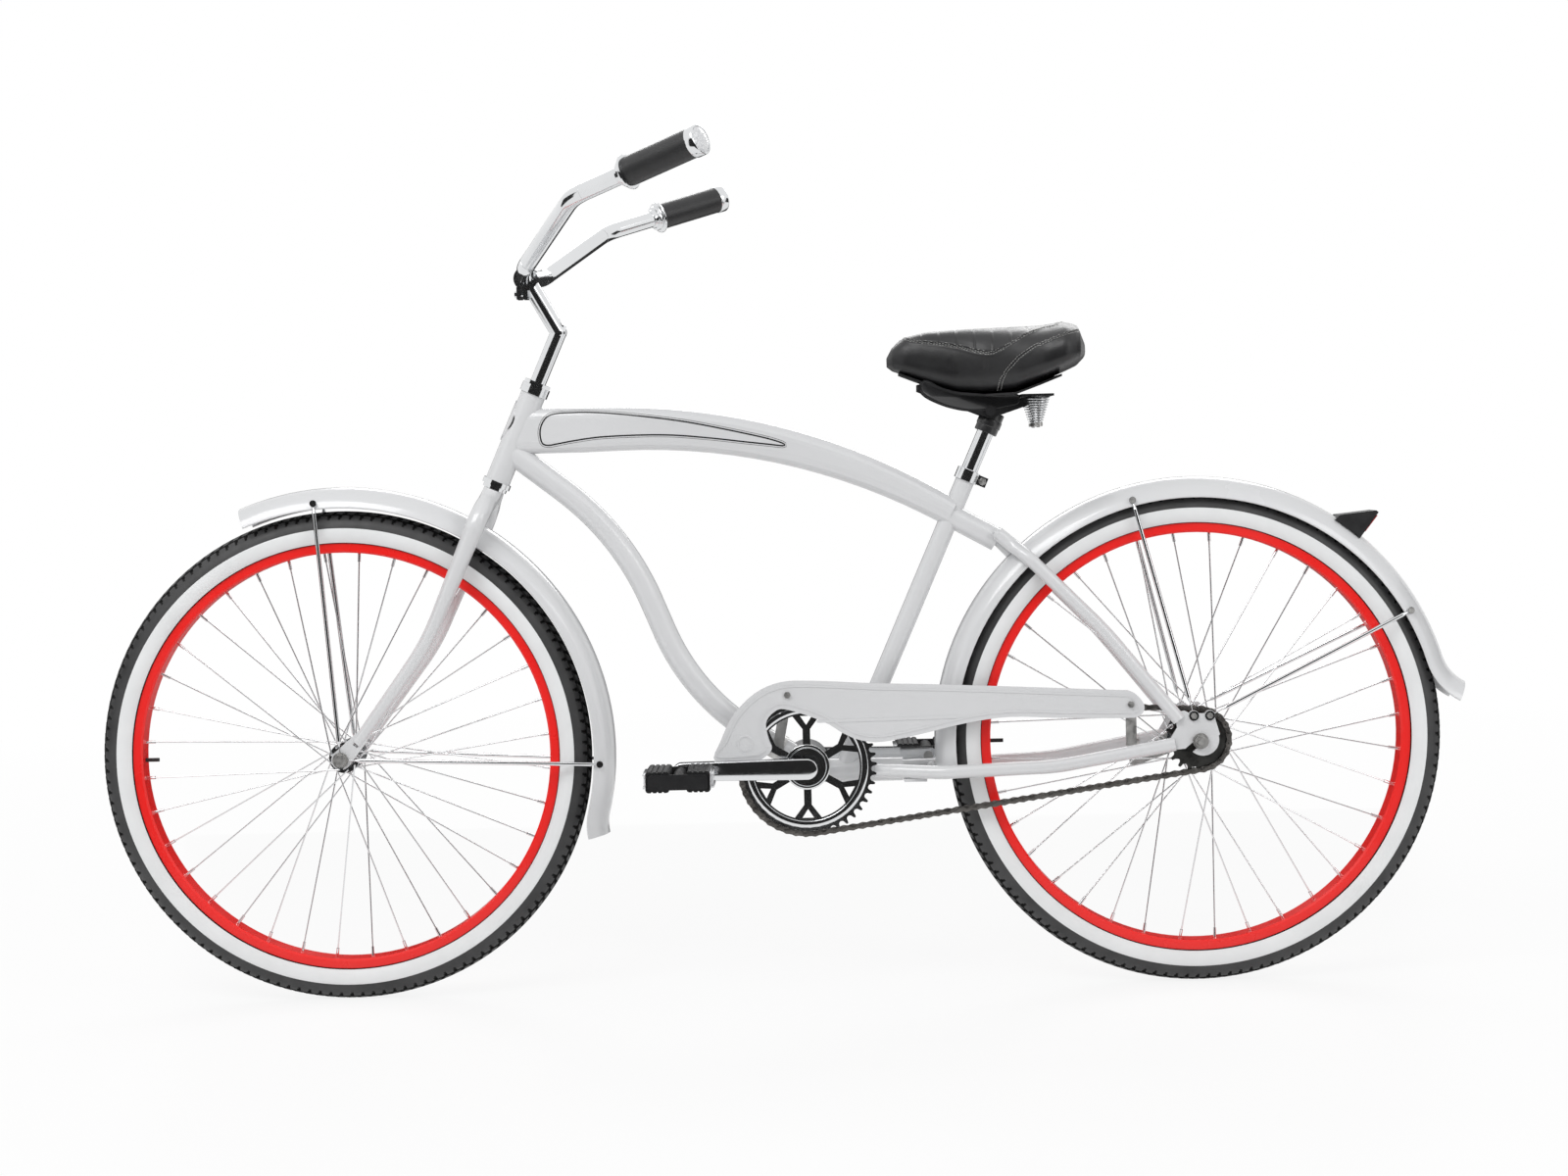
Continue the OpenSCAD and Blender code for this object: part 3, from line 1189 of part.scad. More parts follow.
// Stem, its bolts and the handlebar
stem_r = 11;
bolt_bore_r = 4.2;
stem_clamp_w = 32;
bar_c = steer(clamp_x, 0, clamp_s);
quill_foot = 470;
bolt_head_up = 6;
module stem() {
    arm = dir([0, 0, corner_s], [clamp_x, 0, clamp_s]);
    color(chrome) difference() {
        union() {
            steering() {
                translate([0, 0, quill_foot]) cylinder(h = corner_s - quill_foot, r = quill_d / 2);
                translate([0, 0, corner_s]) sphere(r = stem_r);
                rod([0, 0, corner_s], [clamp_x, 0, clamp_s], stem_r, stem_r);
                translate([clamp_x, 0, clamp_s]) rotate([90, 0, 0]) cylinder(h = stem_clamp_w, r = bar_d / 2 + 5, center = true);
            }
            translate(bar_c + [-5.5, 0, -19]) cube([15, 24, 16], center = true);
        }
        disc(bar_c, bar_d / 2 + seat_gap, -30, 30);
        translate(bar_c + [-5.5, 0, -24]) cube([2.4, 40, 40], center = true);
        translate(bar_c + [-20, 0, -20]) rotate([0, 90, 0]) cylinder(h = 40, r = 3.1);
        steering() {
            translate([0, 0, quill_foot - 1]) cylinder(h = 300, r = bolt_bore_r);
            translate([0, 0, corner_s + bolt_head_up]) cylinder(h = 30, r = 7.2);
        }
    }
}
module stem_bolts() {
    color(chrome) {
        steering() {
            translate([0, 0, quill_foot - 20]) cylinder(h = corner_s + bolt_head_up - quill_foot + 20.5, r = bolt_bore_r - 0.2);
            translate([0, 0, corner_s + bolt_head_up + 0.05]) cylinder(h = 5, r = 6.9, $fn = 6);
            translate([0, 0, quill_foot - 20.05]) cylinder(h = 20, r = quill_d / 2 - 0.1);
        }
        translate(bar_c + [-13.05, 0, -20]) rotate([0, 90, 0]) hex_bolt(3, 8, 17, 0);
    }
}
bar_wall = 1.8;
near_bar = [[0, -26, 0], [11, -112, 8], [88, -bar_half_w + 91, 81], [240, -bar_half_w, 132]];
function mirrored(p) = [p[0], -p[1], p[2]];
bar_path = concat([for (i = [3 : -1 : 0]) bar_c + near_bar[i]], [for (i = [0 : 3]) bar_c + mirrored(near_bar[i])]);
bar_bends = [0, 60, 60, 120, 120, 60, 60, 0];
module handlebar() { color(chrome) bent_tube(bar_path, bar_bends, bar_d / 2, bar_wall); }
bar_end = bar_path[0];
grip_dir = dir(bar_path[0], bar_path[1]);
cap_len = 17;
collar_len = 15;
module near_grip_rings() {
    r = grip_d / 2;
    bore = bar_d / 2 + seat_gap;
    ring_at = bar_end + (grip_len - 1) * grip_dir;
    difference() {
        turned(ring_at, ring_at + grip_dir, [[0.05, r + 2], [0.05, r + 3.5], [2, r + 4], [4.5, r + 3.5], [5.5, r - 1],
            [8, r - 3.5], [9, r - 0.5], [12, r - 1], [14, r - 5], [15, r - 6]]);
        rod(ring_at - grip_dir, ring_at + 30 * grip_dir, bore, bore);
    }
    turned(bar_end - 1.1 * grip_dir, bar_end - 2 * grip_dir, [[0, r + 0.8], [3, r + 1.2], [6, r - 0.5], [9, r - 2.5],
        [13, r - 7], [15, r - 12], [15.8, 0.5]]);
}
module grips() {
    color(black) both_sides() difference() {
        rod(bar_end - grip_dir, bar_end + (grip_len - 1) * grip_dir, grip_d / 2, grip_d / 2);
        rod(bar_end - 2 * grip_dir, bar_end + grip_len * grip_dir, bar_d / 2 + seat_gap, bar_d / 2 + seat_gap);
    }
}
module grip_rings() { color(chrome) both_sides() near_grip_rings(); }

// Front fender and its stays
front_tail_angle = -13.7;
front_end_angle = 112;
front_tail_turn = 25;
module front_fender() {
    color(gloss_white) difference() {
        fender_sheet(front_axle, front_fender_r, front_tail_angle, front_end_angle, front_tail_turn);
        fender_holes(front_axle, front_fender_r, front_rod_angles);
    }
}
crown_low = steer(0, 0, crown_top - 18);
crown_dir = dir(crown_low, front_axle);
module front_fender_stays() {
    y = rod_foot_y(front_hub_w / 2 + front_plate_t / 2, front_plate_t);
    color(gloss_white) {
        both_sides() difference() {
            union() for (a = front_rod_angles)
                stay_rod([front_x, y, tyre_r], on_wheel(front_axle, a, front_fender_r - rivet_drop, rod_head_y));
            disc(front_axle, front_axle_d / 2 + 0.1, -80, 0);
            for (a = front_rod_angles) rivet_line(front_axle, a, front_fender_r) cylinder(h = 60, r = rivet_r + 0.1);
        }
        both_sides() for (a = front_rod_angles) fender_rivet(front_axle, a, front_fender_r);
        difference() {
            rod(crown_low, crown_low + 60 * crown_dir, 7, 7);
            steering() translate([0, 0, crown_top - 18.05]) cylinder(h = 60, r = steerer_d / 2 + 0.05);
            steering() both_sides() fork_blade(-0.05);
            fender_cutter(front_axle, front_fender_r + 0.05);
        }
    }
}

// Seatpost, saddle truss, pan, cushion and springs
post_in = 90;
post_wall = 2;
module seatpost() {
    color(chrome) difference() {
        seat_line() {
            translate([0, 0, seat_tube_len - post_in]) cylinder(h = post_rise + post_in, r = post_d / 2);
            translate([0, 0, post_top_s - 24]) cylinder(h = 28, r = post_d / 2 + 4);
        }
        seat_line() translate([0, 0, seat_tube_len - post_in - 1])
            cylinder(h = post_rise + post_in - 20, r = post_d / 2 - post_wall);
        disc([tilt_at[0], 0, tilt_at[1]], truss_tube_r + run, -40, 40);
    }
}
nose_x = post_top[0] - 139;
function along_saddle(t) = nose_x + t * saddle_len;
crown_z = post_top[2] + saddle_top;
// Shape of the saddle by share of its length: [share, half width, crown below the top, lower edge below the top]
saddle_shape = [
    [0, 9, 46, 54], [0.03, 20, 26, 55], [0.09, 29, 10, 61], [0.2, 33, 5, 72], [0.35, 41, 3, 85], [0.5, 60, 2, 89],
    [0.65, 90, 1, 88], [0.8, 113, 0.5, 74], [0.9, 118, -3.5, 64], [0.97, 106, 0, 56], [1, 84, 20, 48]
];
function ease(u) = u * u * (3 - 2 * u);
function shape_at(t, c) = let (i = max([for (k = [0 : len(saddle_shape) - 2]) saddle_shape[k][0] <= t ? k : 0]),
    a = saddle_shape[i], b = saddle_shape[i + 1], u = (t - a[0]) / (b[0] - a[0])) a[c] + (b[c] - a[c]) * u;
function half_w_at(t) = shape_at(t, 1) * saddle_w / 236;
function crown_at(t) = crown_z - shape_at(t, 2);
function edge_at(t) = crown_z - shape_at(t, 3);
channel_first = 0.18;
channel_last = 0.717;
channel_count = 7;
channel_deep = 2;
channel_half = 0.013;
panel_share = 0.62;
function channel_t(k) = channel_first + (channel_last - channel_first) * k / (channel_count - 1);
saddle_ts = concat([0, 0.02, 0.05, 0.1, 0.14],
    [for (k = [0 : channel_count - 1], e = [-1, 0, 1]) channel_t(k) + e * channel_half], [0.77, 0.83, 0.89, 0.94, 0.975, 1]);
cushion_sides = 36;
function in_channel(t) = min([for (k = [0 : channel_count - 1]) abs(t - channel_t(k))]) < channel_half / 2;
// One ring: the upper half arches to the crown, the lower half draws in to a flat underside
function cushion_ring(t) = let (w = half_w_at(t), top = crown_at(t), low = edge_at(t), belt = low + (top - low) * 0.42)
    [for (k = [0 : cushion_sides - 1]) let (a = 360 * k / cushion_sides, c = cos(a), s = sin(a),
        y = sign(c) * pow(abs(c), 0.72) * w * (s < 0 ? 1 - 0.13 * pow(-s, 1.3) : 1),
        bump = s >= 0 ? belt + (top - belt) * pow(s, 0.8) : belt - (belt - low) * pow(-s, 0.55),
        groove = s > 0.55 && abs(y) < panel_share * w && in_channel(t) ? channel_deep : 0,
        seam = s > 0 && abs(abs(y) - panel_share * w) < 0.07 * w ? 1 : 0)
        [along_saddle(t), y, bump - groove - seam]];
module saddle_cushion() {
    color(gloss_white) polyhedron([for (t = saddle_ts) each cushion_ring(t)],
        loft_faces(len(saddle_ts), cushion_sides), convexity = 4);
}
pan_t = 3;
pan_ts = [0.06, 0.14, 0.25, 0.35, 0.5, 0.65, 0.78, 0.88];
function pan_z(t) = edge_at(t) - 0.4;
module saddle_pan() {
    color(black) intersection() {
        upright(-saddle_w / 2, saddle_w / 2) polygon(concat(
            [for (t = pan_ts) [along_saddle(t), pan_z(t)]],
            [for (i = [len(pan_ts) - 1 : -1 : 0]) [along_saddle(pan_ts[i]), pan_z(pan_ts[i]) - pan_t]]));
        linear_extrude(2000) polygon(concat(
            [for (t = pan_ts) [along_saddle(t), half_w_at(t) * 0.75]],
            [for (i = [len(pan_ts) - 1 : -1 : 0]) [along_saddle(pan_ts[i]), -half_w_at(pan_ts[i]) * 0.75]]));
    }
}
// Truss: two side bars from the nose to the springs' plate, with the clamp on the post between them
truss_y = 21;
truss_t = 3;
spring_x = along_saddle(0.77);
spring_y = 40;
plate_z = pan_z(0.66) - pan_t - 0.3;
hang_t = 3;
truss_tube_r = 9;
tilt_at = [post_top[0] - 4, post_top[2] + 6];
module saddle_truss() {
    c = tilt_at;
    front = [along_saddle(0.17), pan_z(0.17) - pan_t - 8];
    back = [spring_x - 6, plate_z - hang_t - 4.5];
    color(black) {
        both_sides() upright(-truss_y - truss_t, -truss_y) {
            tapered(c, 10, front, 4);
            tapered(c, 10, back, 5);
        }
        disc([c[0], 0, c[1]], truss_tube_r, -truss_y - 1, truss_y + 1);
        disc([c[0], 0, c[1]], 7, -truss_y - truss_t - 6, truss_y + truss_t + 6);
        translate([front[0] - 4, -truss_y - 1, front[1] - 3])
            cube([8, 2 * truss_y + 2, pan_z(0.17) - pan_t - 2 - front[1] + 3]);
        translate([spring_x - 22, -spring_y - 18, plate_z - hang_t]) cube([42, 2 * spring_y + 36, hang_t]);
    }
}
// Conical coil springs, each one unbroken tube
spring_pitch = 3.3;
spring_sides = 6;
spring_rings = 8;
spring_top_z = plate_z - hang_t - spring_wire_d / 2 - 0.3;
function spring_r(u) = (spring_top_d + (spring_low_d - spring_top_d) * u - spring_wire_d) / 2;
function spring_point(i) = let (a = 360 * i / spring_rings, u = i / (spring_curls * spring_rings))
    [spring_r(u) * cos(a), spring_r(u) * sin(a), -spring_pitch * i / spring_rings];
function spring_ring(i) = let (p = spring_point(i), d = dir(spring_point(i - 0.5), spring_point(i + 0.5)),
    side = dir([0, 0, 0], cross(d, [0, 0, 1])), up = cross(side, d))
    [for (k = [0 : spring_sides - 1]) let (a = 360 * k / spring_sides)
        p + spring_wire_d / 2 * (cos(a) * side + sin(a) * up)];
spring_count = spring_curls * spring_rings;
module saddle_springs() {
    color(chrome) for (y = [-spring_y, spring_y]) translate([spring_x, y, spring_top_z])
        polyhedron([for (i = [0 : spring_count]) each spring_ring(i)],
            loft_faces(spring_count + 1, spring_sides), convexity = 10);
}

head_tube();
head_badge();
bearing_cups();
top_tube();
down_tube();
bottom_bracket_shell();
lower_tube();
seat_tube();
seat_stub();
chain_stays();
seat_stays();
dropouts();
frame_bridges();
seat_clamp();
frame_bolts();
rear_fender();
rear_fender_stays();
chain_guard();
guard_brackets();
reflector_housing();
reflector_lens();
rear_axle();
rear_bearings();
brake_shoes();
brake_arm();
chain();
fork();
headset_cones();
headset_balls();
stem();
stem_bolts();
handlebar();
grips();
grip_rings();
front_fender();
front_fender_stays();
front_axle();
front_bearings();
front_tyre();
front_inner_tube();
front_rim();
front_spokes();
front_hub();
rear_tyre();
rear_inner_tube();
rear_rim();
rear_spokes();
rear_hub();
rear_cog();
crank();
crank_bearings();
chainring();
pedal_spindles();
near_pedal();
far_pedal();
seatpost();
saddle_truss();
saddle_pan();
saddle_cushion();
saddle_springs();
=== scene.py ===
"""Looks of a beach cruiser bicycle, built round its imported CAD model."""
import json
import math

import bmesh
import bpy
import numpy as np
from mathutils import Matrix, Vector, noise
from mathutils.bvhtree import BVHTree


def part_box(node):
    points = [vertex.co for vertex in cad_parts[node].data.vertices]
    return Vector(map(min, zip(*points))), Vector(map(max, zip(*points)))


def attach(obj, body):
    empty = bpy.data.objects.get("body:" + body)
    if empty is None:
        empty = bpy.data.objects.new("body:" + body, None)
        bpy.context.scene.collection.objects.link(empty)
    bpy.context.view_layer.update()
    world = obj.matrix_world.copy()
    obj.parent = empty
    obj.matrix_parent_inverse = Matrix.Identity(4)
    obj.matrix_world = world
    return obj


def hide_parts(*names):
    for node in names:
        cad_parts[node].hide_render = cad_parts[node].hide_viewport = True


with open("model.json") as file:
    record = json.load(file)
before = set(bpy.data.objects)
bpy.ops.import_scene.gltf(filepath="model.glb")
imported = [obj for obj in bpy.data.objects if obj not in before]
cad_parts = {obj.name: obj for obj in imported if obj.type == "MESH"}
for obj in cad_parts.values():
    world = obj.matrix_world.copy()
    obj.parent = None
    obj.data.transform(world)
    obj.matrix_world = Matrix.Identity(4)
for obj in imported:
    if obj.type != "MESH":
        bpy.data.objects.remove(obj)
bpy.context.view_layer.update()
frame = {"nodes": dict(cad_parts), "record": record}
nodes = frame["nodes"]
MM = 0.001


def middle(node):
    low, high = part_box(node)
    return (low + high) / 2


# Places taken from the CAD nodes
FRONT_AXLE = middle("front_rim")
REAR_AXLE = middle("rear_rim")
CRANK = middle("bottom_bracket_shell")

# Camera, as fitted to the photograph
IMAGE_W = 1600
FOCAL_PX = 2675.674
SENSOR = 36
CAM_PAST_AXLE = 634.26 * MM
CAM_AWAY = 3.5
CAM_HEIGHT = 0.721276
CAM_YAW = math.radians(-0.7144)
CAM_PITCH = math.radians(2.9801)
CAM_ROLL = math.radians(-1.41011)


def link(obj):
    bpy.context.scene.collection.objects.link(obj)


def make_camera():
    data = bpy.data.cameras.new("camera")
    data.sensor_width = SENSOR
    data.lens = SENSOR * FOCAL_PX / IMAGE_W
    data.clip_end = 100
    cam = bpy.data.objects.new("camera", data)
    link(cam)
    level = Vector((math.sin(CAM_YAW), math.cos(CAM_YAW), 0))
    right = Vector((math.cos(CAM_YAW), -math.sin(CAM_YAW), 0))
    up = Vector((0, 0, 1))
    ahead = level * math.cos(CAM_PITCH) - up * math.sin(CAM_PITCH)
    above = up * math.cos(CAM_PITCH) + level * math.sin(CAM_PITCH)
    side = right * math.cos(CAM_ROLL) + above * math.sin(CAM_ROLL)
    top = above * math.cos(CAM_ROLL) - right * math.sin(CAM_ROLL)
    turn = Matrix((side, top, -ahead)).transposed().to_4x4()
    place = Vector((FRONT_AXLE.x + CAM_PAST_AXLE, -CAM_AWAY, CAM_HEIGHT))
    cam.matrix_world = Matrix.Translation(place) @ turn
    bpy.context.scene.camera = cam


make_camera()
bpy.context.scene.view_settings.view_transform = "Standard"


# Materials: noise scales are per metre, bump distances in metres
class Nodes:
    """A material's node tree with short calls for the nodes that are used here."""

    def __init__(self, name):
        self.mat = bpy.data.materials.new(name)
        self.mat.use_nodes = True
        self.tree = self.mat.node_tree
        self.shader = self.tree.nodes["Principled BSDF"]

    def add(self, kind, **inputs):
        node = self.tree.nodes.new(kind)
        for key, value in inputs.items():
            self.put(node, key.replace("_", " "), value)
        return node

    def put(self, node, key, value):
        if isinstance(value, bpy.types.NodeSocket):
            self.tree.links.new(value, node.inputs[key])
        else:
            node.inputs[key].default_value = value

    def place(self):
        return self.add("ShaderNodeTexCoord").outputs["Object"]

    def noise(self, scale, detail=4, rough=0.55):
        node = self.add("ShaderNodeTexNoise", Scale=scale, Detail=detail, Roughness=rough)
        self.put(node, "Vector", self.place())
        return node.outputs["Fac"]

    def cells(self, scale, feature="DISTANCE_TO_EDGE"):
        node = self.add("ShaderNodeTexVoronoi", Scale=scale)
        node.feature = feature
        self.put(node, "Vector", self.place())
        return node.outputs["Distance"]

    def ramp(self, factor, *stops):
        node = self.add("ShaderNodeValToRGB", Fac=factor)
        band = node.color_ramp
        while len(band.elements) < len(stops):
            band.elements.new(0.5)
        for element, (at, value) in zip(band.elements, stops):
            element.position = at
            rgb = value if isinstance(value, tuple) else (value,) * 3
            element.color = (*rgb, 1)
        return node.outputs["Color"]

    def math(self, how, a, b):
        node = self.tree.nodes.new("ShaderNodeMath")
        node.operation = how
        self.put(node, 0, a)
        self.put(node, 1, b)
        return node.outputs[0]

    def bump(self, height, strength, distance):
        node = self.add("ShaderNodeBump", Strength=strength, Distance=distance, Height=height)
        return node.outputs["Normal"]

    def set(self, **values):
        for key, value in values.items():
            self.put(self.shader, key.replace("_", " "), value)
        return self.mat


def shade(rgb, k):
    return tuple(min(1, c * k) for c in rgb)


def paint(name, rgb, rough=0.22, coat=0.45):
    n = Nodes(name)
    colour = n.ramp(n.noise(3.5, 3), (0.3, shade(rgb, 0.965)), (0.7, rgb))
    flow = n.noise(160, 2)
    dust = n.noise(900, 2)
    normal = n.bump(n.math("ADD", flow, n.math("MULTIPLY", dust, 0.2)), 0.04, 0.0006)
    streaks = n.ramp(n.noise(9, 5), (0.35, rough * 0.85), (0.75, rough * 1.35))
    return n.set(Base_Color=colour, Roughness=streaks, Normal=normal, Coat_Weight=coat,
                 Coat_Roughness=0.06)


def plated(name, rgb=(0.76, 0.77, 0.78), rough=0.1):
    n = Nodes(name)
    colour = n.ramp(n.noise(14, 4), (0.3, shade(rgb, 0.95)), (0.7, rgb))
    smear = n.ramp(n.noise(60, 5), (0.3, rough * 0.8), (0.8, rough * 1.3))
    normal = n.bump(n.noise(90, 2), 0.03, 0.0003)
    return n.set(Base_Color=colour, Metallic=1.0, Roughness=smear, Normal=normal)


def bare_steel(name, rgb, rough=0.34):
    n = Nodes(name)
    colour = n.ramp(n.noise(45, 5), (0.3, shade(rgb, 0.62)), (0.72, rgb))
    roughness = n.ramp(n.noise(130, 4), (0.3, rough * 0.7), (0.8, rough * 1.5))
    normal = n.bump(n.noise(700, 3), 0.2, 0.0003)
    return n.set(Base_Color=colour, Metallic=1.0, Roughness=roughness, Normal=normal)


def leather(name, rgb, grain=900, rough=0.36):
    n = Nodes(name)
    pebbles = n.cells(grain)
    creases = n.noise(grain / 9, 6, 0.65)
    height = n.math("ADD", n.math("MINIMUM", pebbles, 0.3), n.math("MULTIPLY", creases, 0.5))
    colour = n.ramp(n.noise(28, 5), (0.3, shade(rgb, 0.7)), (0.75, shade(rgb, 1.35)))
    wear = n.ramp(n.noise(20, 5), (0.3, rough * 0.82), (0.75, rough * 1.25))
    normal = n.bump(height, 0.32, 0.0005)
    return n.set(Base_Color=colour, Roughness=wear, Normal=normal, Specular_IOR_Level=0.5)


def rubber(name, rgb, rough=0.62):
    n = Nodes(name)
    colour = n.ramp(n.noise(30, 5), (0.3, shade(rgb, 0.72)), (0.75, shade(rgb, 1.25)))
    height = n.math("ADD", n.noise(1300, 3), n.math("MULTIPLY", n.noise(160, 3), 0.6))
    roughness = n.ramp(n.noise(50, 4), (0.3, rough * 0.88), (0.75, min(1, rough * 1.2)))
    return n.set(Base_Color=colour, Roughness=roughness, Normal=n.bump(height, 0.18, 0.0004))


def wall_rubber(name, rgb):
    n = Nodes(name)
    colour = n.ramp(n.noise(18, 4), (0.3, shade(rgb, 0.955)), (0.7, shade(rgb, 1.02)))
    height = n.math("ADD", n.noise(1500, 2), n.math("MULTIPLY", n.noise(300, 3), 0.5))
    roughness = n.ramp(n.noise(40, 4), (0.3, 0.5), (0.75, 0.62))
    return n.set(Base_Color=colour, Roughness=roughness, Normal=n.bump(height, 0.1, 0.0003))


def plastic(name, rgb, rough=0.4):
    n = Nodes(name)
    colour = n.ramp(n.noise(25, 4), (0.3, shade(rgb, 0.85)), (0.75, shade(rgb, 1.1)))
    roughness = n.ramp(n.noise(80, 3), (0.3, rough * 0.85), (0.75, rough * 1.2))
    normal = n.bump(n.noise(1500, 2), 0.14, 0.0003)
    return n.set(Base_Color=colour, Roughness=roughness, Normal=normal)


def lens(name, bright, deep, facets_per_m, rough):
    n = Nodes(name)
    facets = n.cells(facets_per_m, "F1")
    # Each facet is painted lighter in its middle and darker at its edges: painted glint and painted
    # shade of the prisms
    colour = n.ramp(facets, (0.0, bright), (1.0, deep))
    return n.set(Base_Color=colour, Roughness=rough, Normal=n.bump(facets, 0.5, 0.001),
                 Coat_Weight=1.0, Coat_Roughness=0.03)


WHITE = (0.66, 0.665, 0.675)
RED = (0.86, 0.009, 0.006)
BLACK = (0.012, 0.012, 0.013)
LENS_RED = (0.5, 0.01, 0.012)
mats = {
    "white_paint": paint("white_paint", WHITE),
    "red_paint": paint("red_paint", RED, 0.3, 0.15),
    "black_paint": paint("black_paint", (0.014, 0.014, 0.015), 0.35),
    "chrome": plated("chrome"),
    "zinc_steel": bare_steel("zinc_steel", (0.66, 0.655, 0.64), 0.44),
    "chain_steel": bare_steel("chain_steel", (0.2, 0.19, 0.18), 0.4),
    "tyre": rubber("tyre", (0.04, 0.04, 0.041), 0.52),
    # Tyre rubber made near black for the faces cut into the tread: painted shade in the grooves
    "groove": rubber("groove", (0.009, 0.009, 0.009), 0.85),
    "white_wall": wall_rubber("white_wall", (0.76, 0.77, 0.775)),
    "inner_rubber": rubber("inner_rubber", BLACK),
    "grip_leather": leather("grip_leather", (0.016, 0.016, 0.017), 1400, 0.36),
    "saddle_cover": leather("saddle_cover", (0.013, 0.013, 0.014)),
    "black_plastic": plastic("black_plastic", BLACK),
    # The red and clear lenses carry painted glint and painted shade on their facets
    "red_lens": lens("red_lens", shade(LENS_RED, 1.3), shade(LENS_RED, 0.5), 420, 0.12),
    "badge": plated("badge", (0.7, 0.7, 0.71), 0.22),
    "clear_lens": lens("clear_lens", (0.86, 0.87, 0.88), (0.5, 0.51, 0.53), 330, 0.1),
    "thread": rubber("thread", (0.34, 0.34, 0.33), 0.8),
    "dark_steel": bare_steel("dark_steel", (0.1, 0.1, 0.095), 0.38),
    "stripe": plastic("stripe", (0.01, 0.01, 0.01), 0.3),
}

OWN_FINISH = {
    "rear_cog": "dark_steel", "frame_bolts": "zinc_steel", "rear_axle": "zinc_steel",
    "front_axle": "zinc_steel",
}
for part in frame["record"]["subparts"]:
    node_data = nodes[part["node"]].data
    node_data.materials.clear()
    node_data.materials.append(mats[OWN_FINISH.get(part["node"], part["material_slot"])])


# Meshes
def sharp_by_angle(piece, degrees):
    """Marks edges sharper than an angle, so that smooth shading stops at them."""
    limit = math.radians(degrees)
    work = bmesh.new()
    work.from_mesh(piece.data)
    for edge in work.edges:
        if len(edge.link_faces) == 2 and edge.calc_face_angle(0) > limit:
            edge.smooth = False
    work.to_mesh(piece.data)
    work.free()


def new_piece(name, skin, body, slot, stands_for=(), sharp=None, materials=None, face_slots=None):
    """A piece from its vertices and faces; edges sharper than sharp, in degrees, are hard."""
    verts, faces = skin
    mesh = bpy.data.meshes.new(name)
    mesh.from_pydata([tuple(v) for v in verts], [], faces)
    mesh.validate()
    for key in materials or [slot]:
        mesh.materials.append(mats[key])
    if face_slots:
        for poly, index in zip(mesh.polygons, face_slots):
            poly.material_index = index
    for poly in mesh.polygons:
        poly.use_smooth = True
    work = bmesh.new()
    work.from_mesh(mesh)
    bmesh.ops.recalc_face_normals(work, faces=work.faces)
    work.to_mesh(mesh)
    work.free()
    piece = bpy.data.objects.new(name, mesh)
    link(piece)
    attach(piece, body)
    if stands_for:
        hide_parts(*stands_for)
    if sharp:
        sharp_by_angle(piece, sharp)
    return piece


def grid_faces(rows, cols, wrap_rows, wrap_cols):
    """Quads over rows of points, each with cols points, closed in either direction."""
    faces = []
    for i in range(rows if wrap_rows else rows - 1):
        for j in range(cols if wrap_cols else cols - 1):
            a, b = i * cols + j, i * cols + (j + 1) % cols
            c, d = (i + 1) % rows * cols + (j + 1) % cols, (i + 1) % rows * cols + j
            faces.append((a, b, c, d))
    return faces


def capped_faces(rows, cols):
    """Quads over rings of points, with a face over the first ring and one over the last."""
    ends = [tuple(range(cols)), tuple(range((rows - 1) * cols, rows * cols))]
    return grid_faces(rows, cols, False, True) + ends


def joined(parts):
    """One mesh's vertices and faces from several."""
    verts, faces = [], []
    for v, f in parts:
        base = len(verts)
        verts += v
        faces += [tuple(base + i for i in face) for face in f]
    return verts, faces


def mirrored(part):
    verts, faces = part
    return [Vector((v.x, -v.y, v.z)) for v in verts], [tuple(reversed(f)) for f in faces]


def mm(*values):
    return Vector(values) * MM


def spoke(a):
    return Vector((math.cos(a), 0, math.sin(a)))


def across(way):
    """A direction square to way."""
    return way.cross(Vector((0, 0, 1)) if abs(way.z) < 0.9 else Vector((1, 0, 0))).normalized()


def tube(points, radius, sides):
    """A round bar along points; radius is one value or one for each point."""
    count = len(points)
    radii = radius if isinstance(radius, (list, tuple)) else [radius] * count
    verts = []
    side = None
    for i, p in enumerate(points):
        before = points[i - 1] if i else p
        after = points[i + 1] if i < count - 1 else p
        way = (after - before).normalized()
        if side is None:
            side = across(way)
        side = (side - way * side.dot(way)).normalized()
        up = way.cross(side)
        for k in range(sides):
            a = 2 * math.pi * k / sides
            verts.append(p + radii[i] * (math.cos(a) * side + math.sin(a) * up))
    return verts, capped_faces(count, sides)


def lathe(at, way, profile, sides=48):
    """A turned piece from pairs of distance along way and radius, all in millimetres."""
    way = way.normalized()
    side = across(way)
    up = way.cross(side)
    verts = []
    for along, r in profile:
        for k in range(sides):
            a = 2 * math.pi * k / sides
            rim = max(r * MM, 1e-5) * (math.cos(a) * side + math.sin(a) * up)
            verts.append(at * MM + way * (along * MM) + rim)
    return verts, capped_faces(len(profile), sides)


def smooth_loop(points, per):
    """Catmull-Rom points on a closed line through the given ones, per to each stretch."""
    count = len(points)
    out = []
    for i in range(count):
        p = [points[(i + k) % count] for k in (-1, 0, 1, 2)]
        bend = 2 * p[0] - 5 * p[1] + 4 * p[2] - p[3]
        twist = 3 * p[1] - p[0] - 3 * p[2] + p[3]
        for j in range(per):
            u = j / per
            out.append(0.5 * (2 * p[1] + (p[2] - p[0]) * u + bend * u * u + twist * u ** 3))
    return out


def even_path(points, step):
    """Points about one step apart along a line."""
    lengths = [0]
    for a, b in zip(points, points[1:]):
        lengths.append(lengths[-1] + (b - a).length)
    count = max(2, round(lengths[-1] / step))
    out, k = [], 0
    for i in range(count + 1):
        at = lengths[-1] * i / count
        while k < len(points) - 2 and lengths[k + 1] < at:
            k += 1
        span = lengths[k + 1] - lengths[k]
        out.append(points[k].lerp(points[k + 1], (at - lengths[k]) / span if span else 0))
    return out
